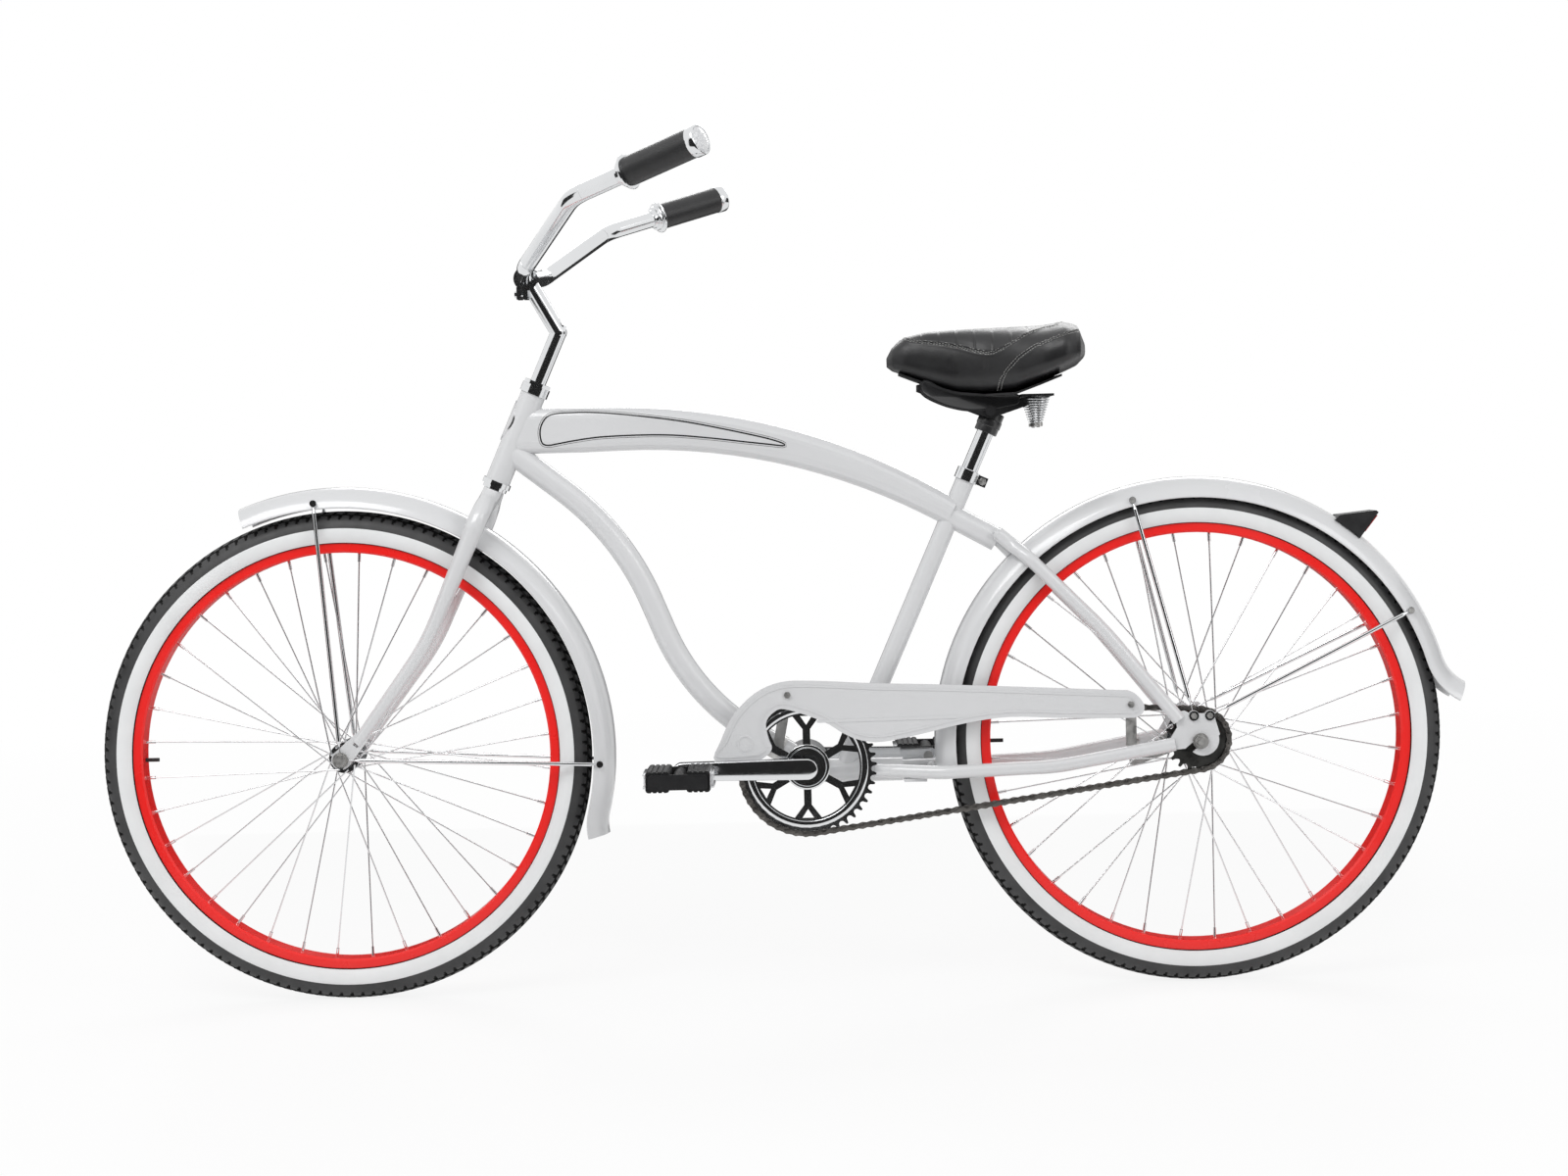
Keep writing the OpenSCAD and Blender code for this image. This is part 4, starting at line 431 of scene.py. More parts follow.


# Tyres: a casing with a block tread, a smooth shoulder and a white wall, with painted shade in the
# tread's grooves
TYRE_R = 328 * MM
SECTION_R = 25.5 * MM
RING_R = TYRE_R - SECTION_R
SKIN_INSET = 0.05 * MM
WALL_PROUD = 0.15 * MM
CASING = 4 * MM
LUGS = 140
STEPS = 8
GROOVE = 3.2 * MM
# Depth of cut past which a tread face gets the darker rubber, as painted shade
PAINTED_SHADE_DEPTH = 0.5 * MM
# Angles from the crown, in degrees: the zigzag rib, the blocks, the lugs, the white wall and the bead
RIB_EDGE = 9
BLOCK_EDGE = 34
LUG_EDGE = 62
WHITE_FROM = 82
WHITE_TO = 124
BEAD_AT = 129
OUTER_HALF = [2.5 * k for k in range(26)] + [
    66, 70, 75, 80, WHITE_FROM - 0.4, WHITE_FROM + 0.4, 87, 93, 100, 108, 116, 123, BEAD_AT,
]
OUTER_ANGLES = [-a for a in reversed(OUTER_HALF[1:])] + OUTER_HALF
INNER_ANGLES = [BEAD_AT, 105, 75, 45, 15, -15, -45, -75, -105, -BEAD_AT]


def tread_depth(phi, turn):
    """How far the tread is cut in at an angle from the crown and a count of lugs round the tyre."""
    side = abs(phi)
    edge = 1 if phi >= 0 else -1
    if side < RIB_EDGE:
        zig = abs((turn * 2) % 1 - 0.5) * 2
        return GROOVE if side > 7.5 - 3 * zig else 0
    if side < BLOCK_EDGE:
        phase = (turn + edge * (side - RIB_EDGE) / 70) % 1
        return GROOVE if phase < 0.26 or side < 12 or side > 31 else 0
    if side < LUG_EDGE:
        phase = (turn + 0.5 + edge * 0.1) % 1
        reach = LUG_EDGE - 17 * (2 * abs(phase - 0.63)) ** 2
        if side > reach:
            return 0
        return GROOVE * min(1, (reach - side) / 5) if phase < 0.3 or side < 37 else 0
    return 0


def tyre_point(axle, out, phi, r):
    p = math.radians(phi)
    return axle + out * (RING_R + r * math.cos(p)) + Vector((0, r * math.sin(p), 0))


def make_tyre(name, axle, body, node):
    outer = len(OUTER_ANGLES)
    cols = outer + len(INNER_ANGLES)
    rows = LUGS * STEPS
    verts = []
    for i in range(rows):
        out = spoke(2 * math.pi * i / rows)
        for phi in OUTER_ANGLES:
            wall = WALL_PROUD if WHITE_FROM < abs(phi) < WHITE_TO else 0
            r = SECTION_R - tread_depth(phi, i / STEPS) - SKIN_INSET + wall
            verts.append(tyre_point(axle, out, phi, r))
        verts += [tyre_point(axle, out, phi, SECTION_R - CASING) for phi in INNER_ANGLES]
    faces = grid_faces(rows, cols, True, True)
    face_slots = []
    for face in faces:
        i, j = divmod(face[0], cols)
        slot = 0
        # Slot 1 is the white wall; slot 2 is the darker rubber, painted shade in the grooves
        if j < outer - 1:
            pair = OUTER_ANGLES[j:j + 2]
            if min(abs(phi) for phi in pair) >= WHITE_FROM:
                slot = 1
            elif max(tread_depth(phi, n / STEPS) for phi in pair for n in (i, i + 1)) > PAINTED_SHADE_DEPTH:
                slot = 2
        face_slots.append(slot)
    new_piece(name, (verts, faces), body, "tyre", [node], sharp=40,
              materials=["tyre", "white_wall", "groove"], face_slots=face_slots)


make_tyre("front_tyre_tread", FRONT_AXLE, "front_wheel", "front_tyre")
make_tyre("rear_tyre_tread", REAR_AXLE, "rear_wheel", "rear_tyre")


# Saddle cover: the CAD cushion's ring shape in finer rows, a channelled panel and sewn seams
NOSE_X = 150.946
SADDLE_LEN = 255
CROWN_Z = 879.476
# Share of the length, half width, and drop of the crown and of the lower edge
SADDLE_SHAPE = [
    (0, 9, 38, 50), (0.03, 20, 24, 56), (0.09, 29, 11.5, 61), (0.2, 33, 5, 72), (0.35, 41, 3, 85),
    (0.5, 60, 2, 89), (0.65, 90, 1, 88), (0.8, 113, 0.5, 74), (0.9, 118, -3.5, 64),
    (0.97, 106, 0, 56), (1, 84, 20, 48),
]
BELT_SHARE = 0.42
SIDE_POWER = 0.72
CROWN_POWER = 0.8
SKIRT_POWER = 0.55
TUCK = 0.13
TUCK_POWER = 1.3
EASE = 0.02
COVER_ROWS = 380
COVER_COLS = 220
CHANNEL_FROM, CHANNEL_TO, CHANNEL_COUNT = 0.18, 0.717, 7
CHANNEL_DEEP = 1.4
CHANNEL_WIDE = 0.8
CHANNELS = [
    CHANNEL_FROM + (CHANNEL_TO - CHANNEL_FROM) * k / (CHANNEL_COUNT - 1) for k in range(CHANNEL_COUNT)
]
CHANNELS_END = 0.79
# Drop of the top panel's seam and of the rear seam below the crown, by share of the length
PANEL_SEAM = [
    (0.085, 12.5), (0.11, 16), (0.16, 18), (0.26, 21), (0.37, 26), (0.45, 33), (0.53, 37),
    (0.59, 31), (0.65, 22), (0.72, 12), (0.8, 5.5), (0.86, 3),
]
REAR_SEAM = [
    (0.569, 86), (0.574, 73), (0.604, 60), (0.664, 43), (0.745, 30), (0.876, 17), (0.965, 11),
]
STITCH_STEP = 3.9
STITCH_OFF = 2.1
# One stitch: place along it, height over the cover and radius
STITCH = (
    (-1.35, -0.2, 0.25), (-1.0, 0.15, 0.38), (0, 0.3, 0.42), (1.0, 0.15, 0.38), (1.35, -0.2, 0.25),
)


def clamped(u):
    return min(1, max(0, u))


def table(rows, t, col):
    for a, b in zip(rows, rows[1:]):
        if t <= b[0] or b is rows[-1]:
            return a[col] + (b[col] - a[col]) * clamped((t - a[0]) / (b[0] - a[0]))


def saddle_row(t):
    """Half width, crown, belt and lower edge of the cover, each eased between the shape's rows."""
    keep = clamped((0.06 - min(t, 1 - t)) / 0.04)
    values = []
    for col in (1, 2, 3):
        near = [table(SADDLE_SHAPE, clamped(t + EASE * k), col) for k in (-1, -0.5, 0, 0.5, 1)]
        values.append(near[2] * keep + (sum(near) / 5) * (1 - keep))
    w, top, low = values[0], CROWN_Z - values[1], CROWN_Z - values[2]
    return w, top, low + (top - low) * BELT_SHARE, low


def saddle_point(t, c, s):
    """The cover's point at a share of the length and a ring angle with cosine c and sine s."""
    w, top, belt, low = saddle_row(t)
    tuck = 1 - TUCK * (-s) ** TUCK_POWER if s < 0 else 1
    y = math.copysign(abs(c) ** SIDE_POWER, c) * w * tuck
    z = belt + (top - belt) * s ** CROWN_POWER if s >= 0 else belt - (belt - low) * (-s) ** SKIRT_POWER
    return Vector((NOSE_X + t * SADDLE_LEN, y, z))


def sine_at_drop(t, drop):
    """Sine of the ring angle at which the cover lies that far below the crown line."""
    _, top, belt, low = saddle_row(t)
    z = CROWN_Z - drop
    if z >= belt:
        return min(0.999, (z - belt) / (top - belt)) ** (1 / CROWN_POWER)
    return -min(0.999, (belt - z) / (belt - low)) ** (1 / SKIRT_POWER)


def seam_line(rows, side, count=90):
    out = []
    for k in range(count + 1):
        t = rows[0][0] + (rows[-1][0] - rows[0][0]) * (k / count)
        s = sine_at_drop(t, table(rows, t, 1))
        out.append(saddle_point(t, side * math.sqrt(1 - s * s), s))
    for _ in range(6):
        inner = [(out[i - 1] + 2 * out[i] + out[i + 1]) / 4 for i in range(1, count)]
        out = [out[0]] + inner + [out[-1]]
    return out


def across_line(a, b, bow, count=24):
    """The seam's end over the top, from one side's end to the other's."""
    out = []
    for k in range(count + 1):
        u = k / count
        p = a.lerp(b, u)
        t = (p.x + bow * math.sin(math.pi * u) - NOSE_X) / SADDLE_LEN
        c = min(0.999, abs(p.y) / saddle_row(t)[0]) ** (1 / SIDE_POWER)
        out.append(saddle_point(t, math.copysign(c, p.y), math.sqrt(1 - c * c)))
    return out


def panel_loop():
    near, far = seam_line(PANEL_SEAM, -1), seam_line(PANEL_SEAM, 1)
    rear = across_line(near[-1], far[-1], 12)[1:-1]
    nose = across_line(far[0], near[0], -7)[1:-1]
    loop = near + rear + far[::-1] + nose
    return loop + [loop[0]]


def pressed(points, lines, deep, wide):
    """How deep each point is pressed in by the nearest of the lines, with a swell beside it."""
    knots = np.array([tuple(p) for line in lines for p in even_path(line, 1.2)])
    out = np.zeros(len(points))
    for start in range(0, len(points), 4000):
        part = points[start:start + 4000]
        gap = np.sqrt(((part[:, None, :] - knots[None, :, :]) ** 2).sum(2)).min(1)
        swell = 0.3 * deep * np.exp(-((gap - 2.6 * wide) / (1.6 * wide)) ** 2)
        out[start:start + 4000] = deep * np.exp(-(gap / wide) ** 2) - swell
    return out


def channelled(points, sines):
    """How deep each point of the top panel is pressed in by the channels across it."""
    out = np.zeros(len(points))
    for i, x in enumerate(points[:, 0]):
        t = (x - NOSE_X) / SADDLE_LEN
        if sines[i] > 0 and PANEL_SEAM[0][0] < t < CHANNELS_END:
            edge = sine_at_drop(t, table(PANEL_SEAM, t, 1))
            inside = clamped((sines[i] - edge) / 0.05)
            gap = min(abs(t - c) for c in CHANNELS) * SADDLE_LEN
            out[i] = inside * CHANNEL_DEEP * math.exp(-(gap / CHANNEL_WIDE) ** 2)
    return out


def cover_rings():
    """The plain cover's points in rings from nose to rear, and the sine of each one's angle."""
    ts = [0.02 + 0.96 * i / (COVER_ROWS - 1) for i in range(COVER_ROWS)]
    ts = [0.5 - 0.5 * math.cos(math.pi * t) for t in ts]
    ts = [(t - ts[0]) / (ts[-1] - ts[0]) for t in ts]
    angles = [2 * math.pi * k / COVER_COLS for k in range(COVER_COLS)]
    verts = [saddle_point(t, math.cos(a), math.sin(a)) for t in ts for a in angles]
    return verts, [math.sin(a) for a in angles] * COVER_ROWS


def moved_in(verts, faces, press):
    """The points moved inwards along their normals, with the cover's faint unevenness."""
    mesh = bpy.data.meshes.new("cover_plain")
    mesh.from_pydata([tuple(v) for v in verts], [], faces)
    work = bmesh.new()
    work.from_mesh(mesh)
    bmesh.ops.recalc_face_normals(work, faces=work.faces)
    work.verts.ensure_lookup_table()
    work.normal_update()
    out = []
    for v, depth in zip(work.verts, press):
        ripple = 0.3 * noise.noise(v.co * 0.03) + 0.06 * noise.noise(v.co * 0.12)
        out.append(v.co - v.normal * (depth - ripple))
    work.free()
    bpy.data.meshes.remove(mesh)
    return out


def make_stitches(cover, seams):
    look = BVHTree.FromObject(cover, bpy.context.evaluated_depsgraph_get())
    threads = []
    for line in [even_path(seam, STITCH_STEP) for seam in seams]:
        for i in range(1, len(line) - 1):
            way = (line[i + 1] - line[i - 1]).normalized()
            for side in (-1, 1):
                hit, normal, _, _ = look.find_nearest(line[i] * MM)
                outward = normal.cross(way).normalized()
                hit, normal, _, _ = look.find_nearest(hit + outward * side * STITCH_OFF * MM)
                along = (way - normal * way.dot(normal)).normalized()
                bar = [hit + along * k * MM + normal * up * MM for k, up, _ in STITCH]
                threads.append(tube(bar, [r * MM for _, _, r in STITCH], 5))
    new_piece("saddle_stitches", joined(threads), "saddle", "saddle_cover", materials=["thread"])


def make_saddle():
    verts, sines = cover_rings()
    points = np.array([tuple(v) for v in verts])
    loop = panel_loop()
    rears = [seam_line(REAR_SEAM, side) for side in (-1, 1)]
    press = pressed(points, [loop], 1.3, 1.2) + pressed(points, rears, 1.1, 1.1)
    press += channelled(points, sines)
    faces = capped_faces(COVER_ROWS, COVER_COLS)
    skin = [v * MM for v in moved_in(verts, faces, press)], faces
    cover = new_piece("saddle_cover", skin, "saddle", "saddle_cover", ["saddle_cushion"])
    make_stitches(cover, [loop] + rears)


make_saddle()


# Side plates under the saddle, with their rolled edge
PLATE_TOP = [
    (194, 803), (195.6, 808.2), (200.6, 811), (208.3, 808.4), (215.9, 803.8), (228.8, 798.3),
    (246.8, 794), (264.9, 791.5), (295.9, 789.5), (323.2, 789),
]
PLATE_LOW = [
    (322.8, 777), (305.9, 773.1), (282.5, 769), (256.7, 769), (233.5, 774), (215.5, 781),
    (202.6, 788), (195.2, 795.3),
]
# Inset from the outline and distance from the bicycle's middle plane
PLATE_SECTION = ((0.6, 24.15), (0, 24.5), (0, 25.1), (0.5, 25.6), (2.2, 25.7), (2.8, 25.3))


def make_side_plates():
    outline = smooth_loop([Vector((x, 0, z)) for x, z in PLATE_TOP + PLATE_LOW], 5)
    count = len(outline)
    parts = []
    for side in (-1, 1):
        verts = []
        for inset, y in PLATE_SECTION:
            for i, p in enumerate(outline):
                way = (outline[(i + 1) % count] - outline[i - 1]).normalized()
                q = p + Vector((way.z, 0, -way.x)) * inset
                verts.append(mm(q.x, side * y, q.z))
        parts.append((verts, capped_faces(len(PLATE_SECTION), count)))
    new_piece("saddle_side_plates", joined(parts), "saddle", "black_paint", sharp=35)


make_side_plates()


# Coil springs, as smooth wires that taper downwards, and the bolts that hold their lower ends
SPRING_X = 347.296
SPRING_Y = 40
SPRING_PITCH = 3.3
SPRING_CURLS = 10
SPRING_TOP_D = 32
SPRING_LOW_D = 12
SPRING_WIRE = 2
SPRING_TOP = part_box("saddle_springs")[1].z / MM - SPRING_WIRE / 2
SPRING_BOLT = (
    (0, 1), (0, 3.2), (4.2, 3.4), (4.5, 5.6), (5, 6), (8.6, 6), (9.2, 5.4), (9.3, 2.4),
    (10.4, 2.2), (10.5, 0.5),
)


def make_springs():
    per_curl = 36
    count = SPRING_CURLS * per_curl
    low = SPRING_TOP - SPRING_PITCH * SPRING_CURLS
    wires, ends = [], []
    for y in (-SPRING_Y, SPRING_Y):
        points = []
        for i in range(count + 1):
            a = 2 * math.pi * i / per_curl
            r = (SPRING_TOP_D + (SPRING_LOW_D - SPRING_TOP_D) * (i / count) - SPRING_WIRE) / 2
            z = SPRING_TOP - SPRING_PITCH * i / per_curl
            points.append(mm(SPRING_X + r * math.cos(a), y + r * math.sin(a), z))
        wires.append(tube(points, SPRING_WIRE / 2 * MM, 12))
        ends.append(lathe(Vector((SPRING_X, y, low + 4)), Vector((0, 0, -1)), SPRING_BOLT, 24))
    new_piece("saddle_coils", joined(wires), "saddle", "chrome", ["saddle_springs"])
    new_piece("spring_ends", joined(ends), "saddle", "zinc_steel", sharp=35)


make_springs()


# Grips: flange, step ring and end cap with a domed lens, turned about the grip's line
GRIP_END = Vector((-84.8, -359, 1090.3))
GRIP_WAY = (Vector((-236.8, -268, 1039.3)) - GRIP_END).normalized()
GRIP_R = 18.25
GRIP_LEN = 96
BAR_HOLE_R = 11.4
# Distance along the grip, and radius past the grip's own
GRIP_FLANGE = (
    (0.05, -5), (0.05, 2.2), (0.3, 3.2), (1.2, 3.9), (2.4, 4), (3.6, 3.4), (4.2, 2.2), (4.4, 0.4),
    (4.6, -0.6), (5.2, -1), (8.6, -1), (9.4, -1.4), (9.8, -2.4), (9.9, -4.4), (11.2, -4.8),
    (14, -5.2), (14.8, -6), (15, BAR_HOLE_R - GRIP_R),
)
GRIP_CAP = (
    (0.02, -3), (0.02, 0.2), (0.4, 0.8), (1.2, 1), (10.2, 1), (11.4, 0.7), (12.2, 0.1),
    (12.6, -0.8), (12.4, -1.6), (11.6, -1.9),
)
# Distance past the cap, and the lens's own radius
GRIP_LENS = (
    (0, 1), (0, GRIP_R - 1.95), (0.5, GRIP_R - 2.2), (1.2, GRIP_R - 3.2), (2.0, GRIP_R - 5.4),
    (2.7, GRIP_R - 8.5), (3.2, GRIP_R - 12), (3.4, 3), (3.45, 0.3),
)


def make_grips():
    flange = lathe(GRIP_END + GRIP_WAY * (GRIP_LEN - 1), GRIP_WAY,
                   [(d, GRIP_R + r) for d, r in GRIP_FLANGE])
    cap = lathe(GRIP_END - 1.1 * GRIP_WAY, -GRIP_WAY, [(d, GRIP_R + r) for d, r in GRIP_CAP])
    lens_cap = lathe(GRIP_END - 12.5 * GRIP_WAY, -GRIP_WAY, GRIP_LENS)
    collars = joined([flange, cap, mirrored(flange), mirrored(cap)])
    new_piece("grip_collars", collars, "steering", "chrome", ["grip_rings"], sharp=30)
    lenses = joined([lens_cap, mirrored(lens_cap)])
    new_piece("grip_lenses", lenses, "steering", "chrome", materials=["clear_lens"])


make_grips()


# Pinstripe on both sides of the top tube: a broad line with a hairline outside it
PANEL_LINE = [
    (-308, 738.9), (-311, 746.3), (-311.4, 756.1), (-308.5, 766), (-301, 775.3), (-289, 778.9),
    (-270, 779.7), (-247, 779.6), (-214, 777.1), (-166, 771.3), (-117, 763.6), (-69, 753.4),
    (-20, 741.8), (2, 735.4), (12.5, 730.9), (10.5, 728.9), (-8, 731.3), (-37, 735),
    (-85, 741.4), (-135, 746.5), (-183, 747.7), (-232, 746.3), (-265, 742.6), (-287, 739),
    (-300, 737),
]
# Distance outside the line, and width
STRIPES = ((0, 1.9), (2.7, 0.5))
STRIPE_PROUD = 0.18
TANK_HALF = 17


def make_pinstripe():
    tank = BVHTree.FromObject(nodes["top_tube"], bpy.context.evaluated_depsgraph_get())
    line = even_path(smooth_loop([Vector((x, 0, z)) for x, z in PANEL_LINE], 8), 2.5)
    count = len(line)
    parts = []
    for side in (-1, 1):
        for off, width in STRIPES:
            rows = []
            for i, p in enumerate(line):
                way = (line[(i + 1) % count] - line[i - 1]).normalized()
                out = Vector((-way.z, 0, way.x))
                for k in (-0.5, 0, 0.5):
                    q = p + out * (off + k * width)
                    hit = tank.ray_cast(mm(q.x, side * 80, q.z), Vector((0, -side, 0)))[0]
                    if hit is None:
                        hit = mm(q.x, side * TANK_HALF, q.z)
                    rows.append(hit + mm(0, side * STRIPE_PROUD, 0))
            parts.append((rows, grid_faces(count, 3, True, False)))
    new_piece("top_tube_pinstripe", joined(parts), "frame", "black_paint", materials=["stripe"])


make_pinstripe()


# Roller chain: waisted plates and shouldered pins on the pins of the CAD chain
PITCH = 12.7
RING_TEETH = 44
COG_TEETH = 20
CHAIN_Y = -41
CHAINRING_AT = Vector((32.476, 0, 303))
PLATE_THICK = 0.9
PLATE_END_R = 4.15
PLATE_WAIST = 2.75
INNER_PLATE_Y = 2.85
OUTER_PLATE_Y = 3.83
PIN_HALF = 4.7
CHAIN_PIN = (
    (0, 1.1), (0.15, 1.7), (0.5, 1.85), (2.3, 1.85), (2.35, 3.85), (7.05, 3.85), (7.1, 1.85),
    (8.9, 1.85), (9.25, 1.7), (9.4, 1.1),
)


def chain_pins():
    """The pins' places: the upper run, round the cog, the lower run and round the chainring."""
    ring_r = PITCH / 2 / math.sin(math.pi / RING_TEETH)
    cog_r = PITCH / 2 / math.sin(math.pi / COG_TEETH)
    cog_at = Vector((REAR_AXLE.x / MM, 0, REAR_AXLE.z / MM))
    gap = cog_at - CHAINRING_AT
    rise, wrap = math.atan2(gap.z, gap.x), math.asin((ring_r - cog_r) / gap.length)
    run = gap.length * math.cos(wrap)
    ring_units = RING_TEETH * (0.5 + wrap / math.pi)
    cog_units = COG_TEETH * (0.5 - wrap / math.pi)
    links = 2 * round((2 * run / PITCH + ring_units + cog_units) / 2)
    run_units = (links - ring_units - cog_units) / 2
    step = run / run_units
    top, low = math.pi / 2 + rise - wrap, -math.pi / 2 + rise + wrap
    pins = []
    for i in range(links):
        u = i
        if u < run_units:
            along = Vector((math.sin(top), 0, -math.cos(top)))
            pins.append(CHAINRING_AT + ring_r * spoke(top) + u * step * along)
            continue
        u -= run_units
        if u < cog_units:
            pins.append(cog_at + cog_r * spoke(top - u * 2 * math.pi / COG_TEETH))
            continue
        u -= cog_units
        if u < run_units:
            along = Vector((math.sin(low), 0, -math.cos(low)))
            pins.append(cog_at + cog_r * spoke(low) + u * step * along)
            continue
        u -= run_units
        pins.append(CHAINRING_AT + ring_r * spoke(low - u * 2 * math.pi / RING_TEETH))
    return pins


def link_plate(a, b, y):
    """A plate round two pins, drawn in between them, with its rims rounded."""
    way = (b - a).normalized()
    side = Vector((-way.z, 0, way.x))
    halfway = way * (b - a).length / 2
    outline = []
    for pin, first, waist in ((b, 100, -PLATE_WAIST), (a, 280, PLATE_WAIST)):
        for k in range(9):
            t = math.radians(first - 200 * k / 8)
            outline.append(pin + PLATE_END_R * (way * math.cos(t) + side * math.sin(t)))
        outline.append(a + halfway + side * waist)
    mid = (a + b) / 2
    verts = []
    for off, inset in ((-0.5, 0.05), (-0.3, 0), (0.3, 0), (0.5, 0.05)):
        for p in outline:
            q = p.lerp(mid, inset)
            verts.append(mm(q.x, y + off * PLATE_THICK, q.z))
    return verts, capped_faces(4, len(outline))


def make_chain():
    pins = chain_pins()
    plates, studs = [], []
    for i, a in enumerate(pins):
        b = pins[(i + 1) % len(pins)]
        off = INNER_PLATE_Y if i % 2 == 0 else OUTER_PLATE_Y
        for side in (-1, 1):
            plates.append(link_plate(a, b, CHAIN_Y + side * off))
        studs.append(lathe(Vector((a.x, CHAIN_Y - PIN_HALF, a.z)), Vector((0, 1, 0)), CHAIN_PIN, 12))
    piece = new_piece("chain_plates", joined(plates), "frame", "chain_steel", sharp=35)
    new_piece("chain_pins", joined(studs), "frame", "chain_steel", sharp=35)
    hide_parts("chain")


make_chain()


# Crank: crowned arms over the forged blank, and rounded bands round the chainring
CRANK_LEN = 165
ARM_FACE = 68.0
ARM_RISE = 2.2
ARM_SUNK = 0.15
ARM_BACK = 1.5
BOSS_R = 13.9
END_R = 11.9
ARM_PLACES = (
    [-13.6, -12.5, -10, -6, -2] + [CRANK_LEN * k / 20 for k in range(1, 20)]
    + [CRANK_LEN + d for d in (0, 4, 8, 10.5, 11.7)]
)
RING_HALF = 1.5
# Middle radius, half width and height of each band
BANDS = ((76.5, 4.6, 1.5), (27.5, 2.6, 0.9))


def arm_half(x):
    """Half the arm's width at a distance from the crank's axis."""
    if x < 0:
        return math.sqrt(BOSS_R ** 2 - x ** 2)
    if x > CRANK_LEN:
        return math.sqrt(END_R ** 2 - (x - CRANK_LEN) ** 2)
    return BOSS_R - (BOSS_R - END_R) * x / CRANK_LEN


def crank_arm(side):
    face = side * ARM_FACE
    centre = CRANK / MM
    verts = []
    for place in ARM_PLACES:
        half = arm_half(place)
        rise = ARM_RISE * min(1, half / 11)
        x = centre.x + side * place
        for k in range(13):
            a = math.pi * k / 12
            y = face + side * (rise * math.sin(a) ** 0.8 - ARM_SUNK)
            verts.append(mm(x, y, centre.z + half * math.cos(a)))
        for k in range(1, 12):
            z = centre.z - half * math.cos(math.pi * k / 12)
            verts.append(mm(x, face - side * ARM_BACK, z))
    return verts, capped_faces(len(ARM_PLACES), 24)


def ring_band(r, wide, proud, out):
    """A rounded band on one face of the chainring; out is the side that it faces."""
    sides = 160
    profile = []
    for k in range(11):
        a = math.pi * k / 10
        profile.append((out * (proud * math.sin(a) - 0.1), r - wide * math.cos(a)))
    profile += [(-0.5 * out, r + wide), (-0.5 * out, r - wide)]
    middle_at = Vector((CRANK.x / MM, CHAIN_Y + RING_HALF * out, CRANK.z / MM))
    verts = []
    for d, radius in profile:
        for m in range(sides):
            verts.append((middle_at + Vector((0, d, 0)) + radius * spoke(2 * math.pi * m / sides)) * MM)
    return verts, grid_faces(len(profile), sides, True, True)


def make_crank_detail():
    arms = [crank_arm(side) for side in (-1, 1)]
    bands = [ring_band(*band, out) for band in BANDS for out in (-1, 1)]
    new_piece("crank_arms", joined(arms), "crank_set", "chrome", sharp=50)
    new_piece("chainring_bands", joined(bands), "crank_set", "chrome", sharp=50)


make_crank_detail()


# Black clamp collar on the seatpost's head
POST_WAY = Vector((0.406737, 0, 0.913545))
POST_TOP = Vector((289.946, 0, 762.476))
COLLAR_DOWN = 24.6
COLLAR_R = 15.1
# Distance up the post, and radius past the collar's own
COLLAR = (
    (0, BAR_HOLE_R - COLLAR_R), (0, -0.6), (0.5, 0.1), (1.4, 0.3), (8.6, 0.3), (9.2, 0.9),
    (10, 1.2), (18, 1.2), (18.8, 0.9), (19.4, 0.3), (27.8, 0.3), (28.7, 0), (29.2, -0.6),
    (29.2, 12 - COLLAR_R),
)


def make_post_collar():
    foot = POST_TOP - COLLAR_DOWN * POST_WAY
    skin = lathe(foot, POST_WAY, [(d, COLLAR_R + r) for d, r in COLLAR])
    new_piece("post_collar", skin, "seat_post", "black_paint", sharp=30)


make_post_collar()


# Pedal ends: a clear reflector in a bright cage at the front and the back of each pedal
REFLECTOR = (3.4, 52, 13)
CAGE_END = (11.5, 84, 22.5)
CAGE_LIP = (4.4, 60, 2.4)
LIP_UP = 8.4


def rounded_slab(at, size, edge, ribs=0):
    """A bar with rounded long edges, its broad faces ribbed along Y if asked."""
    hx, hy, hz = (v / 2 for v in size)
    section = []
    for sx, sz, start in ((1, 1, 0), (-1, 1, 90), (-1, -1, 180), (1, -1, 270)):
        for k in range(5):
            a = math.radians(start + 22.5 * k)
            x, z = sx * (hx - edge) + edge * math.cos(a), sz * (hz - edge) + edge * math.sin(a)
            section.append((x, z))
    steps = [(-hy, -edge * 0.7), (-hy + edge * 0.3, -edge * 0.3), (-hy + edge, 0)]
    for k in range(ribs):
        y = -hy + edge + (k + 0.5) * 2 * (hy - edge) / ribs
        steps += [(y - 1.4, 0), (y - 0.6, -0.5), (y + 0.6, -0.5), (y + 1.4, 0)]
    steps += [(hy - edge, 0), (hy - edge * 0.3, -edge * 0.3), (hy, -edge * 0.7)]
    verts = []
    for y, grow in steps:
        for x, z in section:
            verts.append(at + mm(x * (1 + grow / hx), y, z * (1 + grow / hz)))
    return verts, capped_faces(len(steps), len(section))


def make_pedal_reflectors():
    for body in ("near_pedal", "far_pedal"):
        low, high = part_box(body)
        c = (low + high) / 2
        reflectors, cages = [], []
        for end in (-1, 1):
            tip = Vector((high.x if end > 0 else low.x, c.y, c.z))
            reflectors.append(rounded_slab(tip + mm(end * 1.6, 0, 0), REFLECTOR, 1.2, ribs=9))
            cages.append(rounded_slab(tip - mm(end * 5, 0, 0), CAGE_END, 1.6))
            for up in (-LIP_UP, LIP_UP):
                cages.append(rounded_slab(tip + mm(end * 2.2, 0, up), CAGE_LIP, 0.6))
        for name, slabs in (("_reflectors", reflectors), ("_cage", cages)):
            new_piece(body + name, joined(slabs), body, "chrome", sharp=30, materials=["clear_lens"])


make_pedal_reflectors()


# Stage
FLOOR_HALF = 30
FLOOR_GLOW = 0.86
GLOW_FROM, GLOW_TO = 1.3, 4.0
WORLD_LIGHT = 0.55


